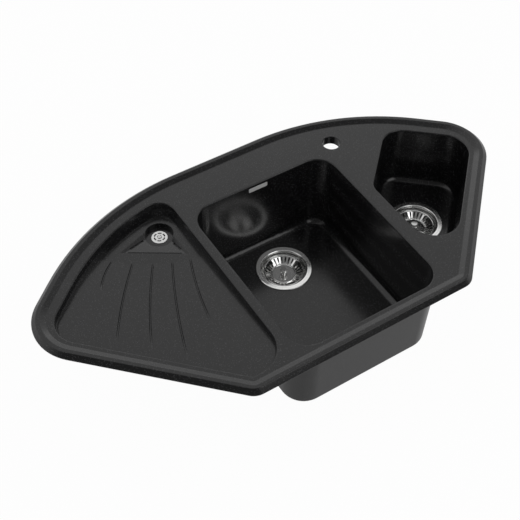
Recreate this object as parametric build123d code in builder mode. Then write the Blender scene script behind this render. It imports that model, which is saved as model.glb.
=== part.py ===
from build123d import *
import math
import os

os.makedirs("parts", exist_ok=True)

# ---------------------------------------------------------------------------
# Frame: millimetres, +Z up, origin on the tap hole's axis at the worktop.
# The plan is drawn from the middle of the sink's front edge: x to the right,
# y to the back.  Heights are measured from the worktop that carries the rim,
# and depths from the deck's upper face.
# ---------------------------------------------------------------------------

# Outline
OVERALL_LENGTH = 950.0
OVERALL_DEPTH = 510.0
FRONT_LENGTH = 444.0
WING_ANGLE = 45.0
BACK_SLOPE = 41.3
END_RADIUS = 90.0
BACK_RADIUS = 468.0
REAR_RUN_SHARE = 0.9

# Rim bead and deck
RIM_HEIGHT = 9.5
RIM_LIP = 1.5
RIM_OUTER_RUN = 8.2
RIM_CREST = 7.0
RIM_INNER_RUN = 10.2
RIM_INNER_CORNER = 6.0
RIM_OVERLAP = 2.6
SEAT_WIDTH = 20.0
DECK = 4.5
DECK_THICKNESS = 12.0
WALL = 9.0
DRAFT_ANGLE = 2.0
MOUTH_ROUNDING = 3.0

# Foam strip in a groove under the rim
STRIP_INSET = 6.0
STRIP_WIDTH = 8.0
STRIP_THICKNESS = 1.8
STRIP_CLEARANCE = 0.2

# Tap hole
TAP_X = 216.0
TAP_FROM_BACK = 88.0
TAP_HOLE_DIAMETER = 35.0
TAP_BOSS_DIAMETER = 70.0
TAP_BOSS_THICKNESS = 18.0
BOSS_OVERLAP = 1.0
TAP_ROUNDING = 1.5

# Margins between the outline and the basins
SIDE_MARGIN = 35.0
BACK_MARGIN = 42.5

# Main bowl
MAIN_LENGTH = 301.0
MAIN_WIDTH = 368.5
MAIN_MIDDLE = 34.5
MAIN_DEPTH = 166.0
MAIN_CORNER = 42.0
MAIN_FLOOR_FILLET = 16.0
FOOT_ROUNDING = 10.0
MAIN_DRAIN_SHIFT = 5.5
MAIN_DRAIN_FROM_BACK = 88.5

# Small bowl
SMALL_STRIP = 30.5
SMALL_DIAGONAL_START = 282.5
SMALL_DEPTH = 130.0
SMALL_FLOOR_FILLET = 14.0
SMALL_FRONT_CORNER = 50.0
SMALL_SIDE_CORNER = 30.0
SMALL_BACK_CORNER = 42.0
SMALL_DRAIN_FROM_LEFT = 96.0
SMALL_DRAIN_FROM_FRONT = 252.5

# Drainer tray
TRAY_STRIP = 18.5
TRAY_FRONT_CORNER = 60.0
TRAY_BACK_CORNER = 33.0
TRAY_LEDGE_DEPTH = 11.0
TRAY_LEDGE = 2.5
TRAY_UPPER_RUN = 1.5
TRAY_FOOT_RUN = 12.0
TRAY_FRONT_DEPTH = 12.3
TRAY_FALL = 0.037
TRAY_FALL_DIRECTION = 61.0
PLATFORM_DEPTH = 23.0

# Grooves, radial about a point behind the tray
FAN_X = 53.5
FAN_BEHIND = 97.0
FAN_RADIUS = 297.0
GROOVE_ANGLES = (227.0, 234.2, 241.3, 247.9, 254.3)
GROOVE_LENGTHS = (70.0, 190.0, 200.0, 230.0, 160.0)
GROOVE_RADIUS = 1.9
GROOVE_DEPTH = 1.5
GROOVE_LEAD = 4.0
GROOVE_BOW = -5.0

# Drain recess in the tray
RECESS_RIGHT = (21.0, 131.2)
RECESS_LEFT = (127.1, 63.6)
RECESS_APEX = (27.5, 29.8)
RECESS_APEX_RADIUS = 16.0
RECESS_LIP_DEPTH = 3.5
RECESS_FALL = 6.0
RECESS_FALL_DIRECTION = 57.5
RECESS_WALL_DEPTH = 14.0
RECESS_WALL_LEAN = 42.0
CAP_FROM_STRIP = 44.0
CAP_FROM_BACK = 102.0
CAP_SEAT_DIAMETER = 53.0
CAP_SEAT_DEPTH = 10.5
CAP_DIAMETER = 31.0
CAP_HOLE_DIAMETER = 25.0
CAP_BOSS_DIAMETER = 78.0
CAP_BOSS_THICKNESS = 8.0

# Lugs for the clips: distance in from the outline, and along it
WORKTOP = 38.0
LUG_FOOT_RISE = 4.0
LUG_FOOT = LUG_FOOT_RISE - WORKTOP
LUG_INSET = 43.8
LUG_DIAMETER = 15.0
LUG_PILOT_DIAMETER = 5.2
LUG_PILOT_DEPTH = 22.0
BACK_LUGS = (-60.0, 140.0)
REAR_LUG_ANGLE = 61.77
REAR_LUG_INSET = 34.42
RIGHT_LUG_RUN = 43.8
LEFT_LUG_RUNS = (196.6, 62.2)

# Basket wastes: heights from the top of the flange, radii from the drain's axis
FLANGE_PROUD = 2.0
SHEET = 1.0
SEAL_THICKNESS = 1.0
GASKET_THICKNESS = 3.0
CUP_RADIUS = 40.0
CUP_DEPTH = 35.0
FLANGE_WIDTH = 16.0
FLANGE_RADIUS = CUP_RADIUS + FLANGE_WIDTH
CUP_FLOOR_RADIUS = 27.0
CUP_SLOTS = 6
CUP_SLOT_CIRCLE = 17.0
CUP_SLOT_LENGTH = 12.0
CUP_SLOT_WIDTH = 5.0
BASKET_SHEET = 0.9
BASKET_CLEARANCE = 1.0
BASKET_RADIUS = CUP_RADIUS - BASKET_CLEARANCE
BASKET_DISH_RADIUS = 21.0
BASKET_SLOTS = 28
BASKET_SLOT_ENDS = (24.8, 35.2)
BASKET_SLOT_ANGLE = 3.6
BASKET_HEIGHT = 12.0
KNOB_RADIUS = 7.25
KNOB_TOP = -3.8
POST_RADIUS = 2.5
STOPPER_RADIUS = 24.5
BOLT_HEAD_RADIUS = 8.0
BOLT_HEAD_HEIGHT = 3.0
BOLT_NECK_RADIUS = 6.2
BOLT_SOCKET_RADIUS = 4.6
BOLT_SOCKET_DEPTH = 8.5
BOLT_SHANK_RADIUS = 3.0
BOLT_LENGTH = 27.0
BOLT_SLACK = 0.1
CATCH_RADIUS = 4.1
CATCH_LENGTH = 8.0
CATCH_SLIT = 1.0
CATCH_SLIT_DEPTH = 6.0
BODY_CLEARANCE = 2.0
BODY_BORE = CUP_RADIUS + BODY_CLEARANCE
BODY_FLANGE_WIDTH = 15.0
BODY_FLANGE_RADIUS = BODY_BORE + BODY_FLANGE_WIDTH
BODY_WALL = 3.5
OUTLET_RADIUS = 23.9
OUTLET_BORE = 20.5
OUTLET_LENGTH = 28.0
BAR_WIDTH = 9.0
BAR_THICKNESS = 5.0
BOLT_BOSS_DEPTH = 13.0
BRANCH_RADIUS = 11.0
BRANCH_BORE = 9.0
BRANCH_DROP = 18.0
BRANCH_LENGTH = 22.0
SHOULDER = 2.5
BRANCH_SHOULDER_LENGTH = 4.0

# Waste hole through both bowls' floors
DRAIN_HOLE_CLEARANCE = 5.5
DRAIN_HOLE_DIAMETER = 2 * (CUP_RADIUS + DRAIN_HOLE_CLEARANCE)

# Tray drain
CAP_THICKNESS = 1.2
CAP_SLOTS = 6
CAP_SLOT_CIRCLE = 9.6
CAP_SLOT_LENGTH = 7.6
CAP_SLOT_WIDTH = 2.6
CAP_EDGE = 0.5
DRAINER_SCREW_RADIUS = 2.5
DRAINER_SCREW_LENGTH = 24.0
DRAINER_SCREW_HEAD = 4.4
DRAINER_SCREW_SLOT = 1.0
DRAINER_BAR_WIDTH = 7.0
DRAINER_BAR_DROP = 12.0
DRAINER_BAR_THICKNESS = 10.0
DRAINER_SEAL_THICKNESS = 2.0
DRAINER_FLANGE_RADIUS = 30.0
DRAINER_FLANGE_THICKNESS = 4.0
DRAINER_POT_RADIUS = 20.0
DRAINER_POT_DEPTH = 30.0
DRAINER_SPIGOT_RADIUS = 9.5
DRAINER_SPIGOT_REACH = 49.5
DRAINER_SHOULDER_REACH = 22.5
DRAINER_SPIGOT_FLOOR = 1.5
HOSE_WALL = 2.5

# Fixing clips
CLIP_GAP = 0.3
CLIP_SHEET = 2.5
CLIP_WIDTH = 14.0
CLIP_TAIL = 8.0
CLIP_REACH = 32.0
CLIP_DROP = 8.5
CLIP_CLAW = 4.6
CLIP_HOLE_RADIUS = 2.9
SCREW_RADIUS = 2.5
SCREW_HEAD_RADIUS = 4.5
SCREW_HEAD_HEIGHT = 3.0
SCREW_HEAD_GAP = 0.2
SCREW_GRIP = 20.0
CROSS_LENGTH = 6.0
CROSS_WIDTH = 1.1
CROSS_DEPTH = 1.6
CLIP_BEND = 1.6

PLAN = Plane(origin=(-TAP_X, TAP_FROM_BACK - OVERALL_DEPTH, 0))
RIM_WIDTH = RIM_OUTER_RUN + RIM_CREST + RIM_INNER_RUN
FRONT_CORNER_RADIUS = RIM_WIDTH + RIM_INNER_CORNER
DECK_UNDERSIDE = DECK - DECK_THICKNESS
MAIN_LEFT = MAIN_MIDDLE - MAIN_LENGTH / 2
MAIN_RIGHT = MAIN_MIDDLE + MAIN_LENGTH / 2
MAIN_FRONT = SIDE_MARGIN
MAIN_BACK = MAIN_FRONT + MAIN_WIDTH
TRAY_RIGHT = MAIN_LEFT - TRAY_STRIP
TRAY_BACK = OVERALL_DEPTH - BACK_MARGIN
SMALL_LEFT = MAIN_RIGHT + SMALL_STRIP
FAR = 2000.0
ROOM_HEIGHT = 200.0


def drafted(depth):
    """How far a drafted wall has come in at a depth."""
    return depth * math.tan(math.radians(DRAFT_ANGLE))


def at(x, y, z):
    """A point given in the plan, in the part's own frame."""
    return PLAN.from_local_coords(Vector(x, y, z))


def crossing(normal_a, offset_a, normal_b, offset_b):
    """Where two lines cross, each given by its normal and its offset."""
    turn = normal_a.X * normal_b.Y - normal_a.Y * normal_b.X
    x = (offset_a * normal_b.Y - offset_b * normal_a.Y) / turn
    y = (normal_a.X * offset_b - normal_b.X * offset_a) / turn
    return x, y


def facing(angle):
    """A direction in the plan, by its angle from the x axis."""
    return Vector(1, 0).rotate(Axis.Z, angle)


# The outline's straight runs, each by the way it faces and how far out it lies:
# the front, a wing, the slope behind the wing, and the back
front_way = facing(-90)
wing_way = facing(WING_ANGLE - 90)
slope_way = facing(90 - BACK_SLOPE)
back_way = facing(90)
wing = FRONT_LENGTH / 2 * wing_way.X
end_x = OVERALL_LENGTH / 2 - END_RADIUS
end_y = (wing - END_RADIUS - end_x * wing_way.X) / wing_way.Y
slope = slope_way.X * end_x + slope_way.Y * end_y + END_RADIUS
rear_corner = Vector(*crossing(slope_way, slope, back_way, OVERALL_DEPTH))
slope_start = Vector(end_x, end_y) + slope_way * END_RADIUS
rear_run = min(rear_corner.X, (rear_corner - slope_start).length)
rear_bend = min(BACK_RADIUS, REAR_RUN_SHARE * rear_run / math.tan(math.radians(BACK_SLOPE / 2)))
rear_centre = crossing(slope_way, slope - rear_bend, back_way, OVERALL_DEPTH - rear_bend)


def outline_wire(front, side, back):
    """The closed outline, moved in by a margin at its front, wings and back."""
    right = [
        crossing(front_way, -front, wing_way, wing - side),
        crossing(wing_way, wing - side, slope_way, slope - back),
        crossing(slope_way, slope - back, back_way, OVERALL_DEPTH - back),
    ]
    left = [(-x, y) for x, y in reversed(right)]
    front_radius = max(FRONT_CORNER_RADIUS - front, RIM_INNER_CORNER)
    end_radius = END_RADIUS - max(side, back)
    rear_radius = rear_bend - back
    radii = [front_radius, end_radius, rear_radius]
    return FilletPolyline(*right, *left, radius=radii + radii[::-1], close=True)


def main_outline(height, inset):
    """Main bowl at a height, moved in from its mouth."""
    with BuildSketch(PLAN.offset(height)) as sketch:
        with Locations((MAIN_MIDDLE, MAIN_FRONT + MAIN_WIDTH / 2)):
            RectangleRounded(
                MAIN_LENGTH - 2 * inset,
                MAIN_WIDTH - 2 * inset,
                MAIN_CORNER - inset,
            )
    return sketch.sketch


def small_outline(height, inset):
    """Small bowl at a height, moved in from its mouth."""
    left = SMALL_LEFT + inset
    elbow = SMALL_DIAGONAL_START - inset * math.tan(math.radians(WING_ANGLE / 2))
    with BuildSketch(PLAN.offset(height)) as sketch:
        with BuildLine():
            outline_wire(-2 * SIDE_MARGIN, SIDE_MARGIN + inset, BACK_MARGIN + inset)
        make_face()
        Polygon(
            (left, -FAR),
            (left + FAR, -FAR),
            (left + FAR, elbow + FAR),
            (left, elbow),
            align=None,
            mode=Mode.INTERSECT,
        )
        back_corner = sketch.vertices().sort_by(Axis.Y)[-1]
        fillet(back_corner, radius=SMALL_BACK_CORNER - inset)
        side_corner = sketch.vertices().group_by(Axis.X)[0].sort_by(Axis.Y)[-1]
        fillet(side_corner, radius=SMALL_SIDE_CORNER - inset)
        front_corner = sketch.vertices().group_by(Axis.X)[0].sort_by(Axis.Y)[0]
        fillet(front_corner, radius=SMALL_FRONT_CORNER - inset)
    return sketch.sketch


def tray_outline(height, inset, back_inset):
    """Drainer tray at a height, moved in from its mouth, and further at the back."""
    side = SIDE_MARGIN + inset
    with BuildSketch(PLAN.offset(height)) as sketch:
        with BuildLine():
            outline_wire(side, side, BACK_MARGIN + back_inset)
        make_face()
        with Locations((TRAY_RIGHT - inset - FAR / 2, 0)):
            Rectangle(FAR, FAR, mode=Mode.INTERSECT)
        back_corner = sketch.vertices().group_by(Axis.X)[-1].sort_by(Axis.Y)[-1]
        fillet(back_corner, radius=TRAY_BACK_CORNER - inset)
        front_corner = sketch.vertices().group_by(Axis.X)[-1].sort_by(Axis.Y)[0]
        fillet(front_corner, radius=TRAY_FRONT_CORNER - inset)
    return sketch.sketch


def sheet_corners(points, thickness):
    """Corners round a sheet of one thickness whose middle runs along some points."""
    path = [Vector(*point) for point in points]
    ways = [(after - before).normalized() for before, after in zip(path, path[1:])]
    sides = [way.rotate(Axis.Z, 90) for way in ways]
    mitres = [(a + b) * (1 / (1 + a.dot(b))) for a, b in zip(sides, sides[1:])]
    steps = [side * (thickness / 2) for side in (sides[0], *mitres, sides[-1])]
    left = [point + step for point, step in zip(path, steps)]
    right = [point - step for point, step in zip(path, steps)]
    return [(corner.X, corner.Y) for corner in left + right[::-1]]


def round_edges(edges, radius):
    """Those of some circular edges that have a given radius."""
    return edges.filter_by(lambda edge: abs(edge.radius - radius) < 0.01)


# ---------------------------------------------------------------------------
# Main bowl: its shell and the basin cut from it
# ---------------------------------------------------------------------------
main_floor = DECK - MAIN_DEPTH
with BuildPart() as main_shell:
    loft([
        main_outline(DECK_UNDERSIDE + BOSS_OVERLAP, -WALL),
        main_outline(main_floor - WALL, drafted(MAIN_DEPTH) - WALL),
    ])
    fillet(main_shell.edges().group_by(Axis.Z)[0], radius=FOOT_ROUNDING)

with BuildPart() as main_basin:
    loft([main_outline(DECK, 0), main_outline(main_floor, drafted(MAIN_DEPTH))])
    fillet(main_basin.edges().group_by(Axis.Z)[0], radius=MAIN_FLOOR_FILLET)

# ---------------------------------------------------------------------------
# Small bowl: five-sided, with a side along the wing
# ---------------------------------------------------------------------------
small_floor = DECK - SMALL_DEPTH
with BuildPart() as small_shell:
    loft([
        small_outline(DECK_UNDERSIDE + BOSS_OVERLAP, -WALL),
        small_outline(small_floor - WALL, drafted(SMALL_DEPTH) - WALL),
    ])
    fillet(small_shell.edges().group_by(Axis.Z)[0], radius=FOOT_ROUNDING)

with BuildPart() as small_basin:
    loft([small_outline(DECK, 0), small_outline(small_floor, drafted(SMALL_DEPTH))])
    fillet(small_basin.edges().group_by(Axis.Z)[0], radius=SMALL_FLOOR_FILLET)

# ---------------------------------------------------------------------------
# Drainer tray: a fluted floor falls to a lower platform round the drain
# ---------------------------------------------------------------------------
fan_centre = (TRAY_RIGHT + FAN_X, OVERALL_DEPTH + FAN_BEHIND)
fall_way = facing(TRAY_FALL_DIRECTION)


def fluted_floor(x, y):
    """Height of the fluted floor at a point of the plan."""
    return DECK - TRAY_FRONT_DEPTH - TRAY_FALL * (fall_way.X * x + fall_way.Y * y)


def tray_room(drop):
    """Everything above the tray's floor, its platform included."""
    fluted_plane = Plane(
        origin=at(0, 0, fluted_floor(0, 0) - drop),
        x_dir=fall_way.rotate(Axis.Z, 90),
        z_dir=Vector(fall_way.X * TRAY_FALL, fall_way.Y * TRAY_FALL, 1),
    )
    with BuildPart() as room:
        with BuildSketch(fluted_plane):
            Rectangle(FAR, FAR)
        extrude(amount=ROOM_HEIGHT)
        with BuildSketch(PLAN.offset(DECK - PLATFORM_DEPTH - drop)):
            with Locations(fan_centre):
                Circle(FAN_RADIUS + drop)
        extrude(amount=PLATFORM_DEPTH + drop)
    return room.part


with BuildPart() as tray_shell:
    tray_bottom = PLATFORM_DEPTH + 2 * WALL
    loft([
        tray_outline(DECK_UNDERSIDE + BOSS_OVERLAP, -WALL, -WALL),
        tray_outline(DECK - tray_bottom, TRAY_FOOT_RUN - WALL, TRAY_FOOT_RUN - WALL),
    ])
    add(tray_room(WALL), mode=Mode.INTERSECT)

with BuildPart() as tray_basin:
    tray_foot_depth = PLATFORM_DEPTH + TRAY_LEDGE_DEPTH
    loft([
        tray_outline(DECK, 0, 0),
        tray_outline(DECK - TRAY_LEDGE_DEPTH, TRAY_UPPER_RUN, TRAY_UPPER_RUN),
    ])
    loft([
        tray_outline(DECK - TRAY_LEDGE_DEPTH, TRAY_UPPER_RUN, TRAY_UPPER_RUN + TRAY_LEDGE),
        tray_outline(DECK - tray_foot_depth, TRAY_FOOT_RUN, TRAY_FOOT_RUN + TRAY_LEDGE),
    ])
    add(tray_room(0), mode=Mode.INTERSECT)

# Recess round the drain, three-sided, falling to its back corner
recess_points = [
    (TRAY_RIGHT - x, TRAY_BACK - y) for x, y in (RECESS_RIGHT, RECESS_APEX, RECESS_LEFT)
]
recess_way = facing(RECESS_FALL_DIRECTION)
recess_slope = math.tan(math.radians(RECESS_FALL))
with BuildPart() as recess:
    with BuildSketch(PLAN.offset(DECK - PLATFORM_DEPTH)):
        Polygon(*recess_points, align=None)
    extrude(amount=-RECESS_WALL_DEPTH, taper=RECESS_WALL_LEAN)
    corner_edges = recess.edges().filter_by(Axis.Z, reverse=True).filter_by(Plane.XY, reverse=True)
    fillet(corner_edges.sort_by(Axis.Y)[-1], radius=RECESS_APEX_RADIUS)
    lip = at(*recess_points[0], DECK - PLATFORM_DEPTH - RECESS_LIP_DEPTH)
    with BuildSketch(Plane(
        origin=lip,
        x_dir=recess_way.rotate(Axis.Z, 90),
        z_dir=Vector(recess_way.X * recess_slope, recess_way.Y * recess_slope, 1),
    )):
        Rectangle(FAR, FAR)
    extrude(amount=ROOM_HEIGHT, mode=Mode.INTERSECT)

cap_centre = (TRAY_RIGHT - CAP_FROM_STRIP, OVERALL_DEPTH - CAP_FROM_BACK)
cap_seat = DECK - PLATFORM_DEPTH - CAP_SEAT_DEPTH


# ---------------------------------------------------------------------------
# Sink body: one moulding
# ---------------------------------------------------------------------------
main_drain = (MAIN_MIDDLE + MAIN_DRAIN_SHIFT, MAIN_BACK - MAIN_DRAIN_FROM_BACK)
small_drain = (SMALL_LEFT + SMALL_DRAIN_FROM_LEFT, SMALL_DRAIN_FROM_FRONT)


def beside_wing(hand, run):
    """A lug's place beside a wing, some way from the front corner, and the way out."""
    corner = Vector(hand * FRONT_LENGTH / 2, 0)
    outward = -90 + hand * WING_ANGLE
    spot = corner + facing(outward + hand * 90) * run - facing(outward) * LUG_INSET
    return spot.X, spot.Y, outward


rear_lug = Vector(*rear_centre) + facing(REAR_LUG_ANGLE) * (rear_bend - REAR_LUG_INSET)
clip_spots = {
    "fixing_clip_1": (BACK_LUGS[0], OVERALL_DEPTH - LUG_INSET, 90),
    "fixing_clip_2": (BACK_LUGS[1], OVERALL_DEPTH - LUG_INSET, 90),
    "fixing_clip_3": (rear_lug.X, rear_lug.Y, REAR_LUG_ANGLE),
    "fixing_clip_4": beside_wing(1, RIGHT_LUG_RUN),
    "fixing_clip_5": beside_wing(-1, LEFT_LUG_RUNS[0]),
    "fixing_clip_6": beside_wing(-1, LEFT_LUG_RUNS[1]),
}
lug_spots = [(x, y) for x, y, turn in clip_spots.values()]

with BuildLine(PLAN) as rim_path:
    outline_wire(0, 0, 0)
rim_wire = rim_path.wires()[0]
rim_plane = Plane(
    origin=rim_wire @ 0,
    x_dir=Vector(0, 0, 1).cross(rim_wire % 0),
    z_dir=rim_wire % 0,
)

with BuildPart() as sink_body:
    # Raised bead all round, with a groove underneath for the foam strip
    with BuildSketch(rim_plane):
        with BuildLine():
            FilletPolyline(
                (0, 0),
                (0, RIM_LIP),
                (RIM_OUTER_RUN, RIM_HEIGHT),
                (RIM_OUTER_RUN + RIM_CREST, RIM_HEIGHT),
                (RIM_WIDTH, DECK),
                (RIM_WIDTH + RIM_OVERLAP, DECK),
                (RIM_WIDTH + RIM_OVERLAP, 0),
                radius=[0.5, 1.5, 3, 3.5, 5, 0, 0],
                close=True,
            )
        make_face()
        with Locations((STRIP_INSET, 0)):
            Rectangle(STRIP_WIDTH, STRIP_THICKNESS, align=Align.MIN, mode=Mode.SUBTRACT)
    sweep(path=rim_wire)
    with BuildSketch(PLAN.offset(DECK_UNDERSIDE)):
        with BuildLine():
            outline_wire(SEAT_WIDTH, SEAT_WIDTH, SEAT_WIDTH)
        make_face()
    extrude(amount=DECK_THICKNESS)

    # Shells of the three basins
    add(main_shell.part)
    add(small_shell.part)
    add(tray_shell.part)

    # Bosses: tap hole, tray drain and the clips' lugs
    with BuildSketch(PLAN.offset(DECK - TAP_BOSS_THICKNESS)):
        with Locations((TAP_X, OVERALL_DEPTH - TAP_FROM_BACK)):
            Circle(TAP_BOSS_DIAMETER / 2)
    extrude(amount=TAP_BOSS_THICKNESS - BOSS_OVERLAP)
    with BuildSketch(PLAN.offset(cap_seat - CAP_BOSS_THICKNESS)):
        with Locations(cap_centre):
            Circle(CAP_BOSS_DIAMETER / 2)
    extrude(until=Until.NEXT)
    with BuildSketch(PLAN.offset(LUG_FOOT)):
        with Locations(*lug_spots):
            Circle(LUG_DIAMETER / 2)
    extrude(amount=-LUG_FOOT)

    # Basins, with the recess and the platform's step
    add(main_basin.part, mode=Mode.SUBTRACT)
    add(small_basin.part, mode=Mode.SUBTRACT)
    add(tray_basin.part, mode=Mode.SUBTRACT)
    add(recess.part, mode=Mode.SUBTRACT)

    # Grooves fan out from the platform and run out into the fluted floor
    for angle, length in zip(GROOVE_ANGLES, GROOVE_LENGTHS):
        way = facing(angle)
        start = Vector(*fan_centre) + way * (FAN_RADIUS - GROOVE_LEAD)
        end = Vector(*fan_centre) + way * (FAN_RADIUS + length)
        middle = (start + end) * 0.5 + way.rotate(Axis.Z, 90) * GROOVE_BOW
        middle_z = fluted_floor(middle.X, middle.Y) + GROOVE_RADIUS - GROOVE_DEPTH / 2
        with BuildLine() as groove_path:
            ThreePointArc(
                at(start.X, start.Y, fluted_floor(start.X, start.Y) + GROOVE_RADIUS - GROOVE_DEPTH),
                at(middle.X, middle.Y, middle_z),
                at(end.X, end.Y, fluted_floor(end.X, end.Y) + GROOVE_RADIUS),
            )
        groove_wire = groove_path.wires()[0]
        with BuildSketch(Plane(origin=groove_wire @ 0, z_dir=groove_wire % 0)):
            Circle(GROOVE_RADIUS)
        sweep(path=groove_wire, mode=Mode.SUBTRACT)

    # Tap hole, waste holes, tray drain with its counterbore, the lugs' pilot holes
    with Locations(PLAN * Pos(TAP_X, OVERALL_DEPTH - TAP_FROM_BACK, DECK)):
        Hole(TAP_HOLE_DIAMETER / 2, depth=TAP_BOSS_THICKNESS)
    with Locations(
        PLAN * Pos(*main_drain, main_floor),
        PLAN * Pos(*small_drain, small_floor),
    ):
        Hole(DRAIN_HOLE_DIAMETER / 2, depth=WALL)
    with Locations(PLAN * Pos(*cap_centre, DECK - PLATFORM_DEPTH)):
        CounterBoreHole(
            radius=CAP_HOLE_DIAMETER / 2,
            counter_bore_radius=CAP_SEAT_DIAMETER / 2,
            counter_bore_depth=CAP_SEAT_DEPTH,
            depth=CAP_SEAT_DEPTH + CAP_BOSS_THICKNESS,
        )
    with Locations([PLAN.offset(LUG_FOOT) * Pos(x, y) * Rot(X=180) for x, y in lug_spots]):
        Hole(LUG_PILOT_DIAMETER / 2, depth=LUG_PILOT_DEPTH)

    # Rounded mouths and tap hole edge
    deck_face = (
        sink_body.faces()
        .filter_by(Plane.XY)
        .filter_by_position(Axis.Z, DECK - 0.01, DECK + 0.01)
        .sort_by(SortBy.AREA)[-1]
    )
    openings = deck_face.inner_wires().sort_by(SortBy.LENGTH)
    fillet(openings[1:].edges(), radius=MOUTH_ROUNDING)
    deck_circles = (
        sink_body.edges()
        .filter_by(GeomType.CIRCLE)
        .filter_by_position(Axis.Z, DECK - 0.01, DECK + 0.01)
    )
    fillet(round_edges(deck_circles, TAP_HOLE_DIAMETER / 2), radius=TAP_ROUNDING)
sink_body.part.label = "sink_body"
export_step(sink_body.part, "parts/sink_body.step")

# Foam strip that seals the rim to the worktop
with BuildPart() as rim_sealing_strip:
    with BuildSketch(rim_plane):
        with Locations((STRIP_INSET + STRIP_CLEARANCE, 0)):
            Rectangle(
                STRIP_WIDTH - 2 * STRIP_CLEARANCE,
                STRIP_THICKNESS - STRIP_CLEARANCE,
                align=Align.MIN,
            )
    sweep(path=rim_wire)
rim_sealing_strip.part.label = "rim_sealing_strip"
export_step(rim_sealing_strip.part, "parts/rim_sealing_strip.step")

# ---------------------------------------------------------------------------
# Basket wastes, one in each bowl
# ---------------------------------------------------------------------------
cup_floor = SHEET - CUP_DEPTH
head_top = cup_floor + BOLT_HEAD_HEIGHT
gasket_top = -FLANGE_PROUD - WALL
body_top = gasket_top - GASKET_THICKNESS
dish_floor = -19.0
collar_top = dish_floor - BASKET_SHEET / 2
stopper_top = cup_floor + 6
stopper_web = head_top + 0.4
cone_top = -CUP_DEPTH - 8
cone_foot = cone_top - 12
outlet_foot = cone_foot - OUTLET_LENGTH

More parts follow.
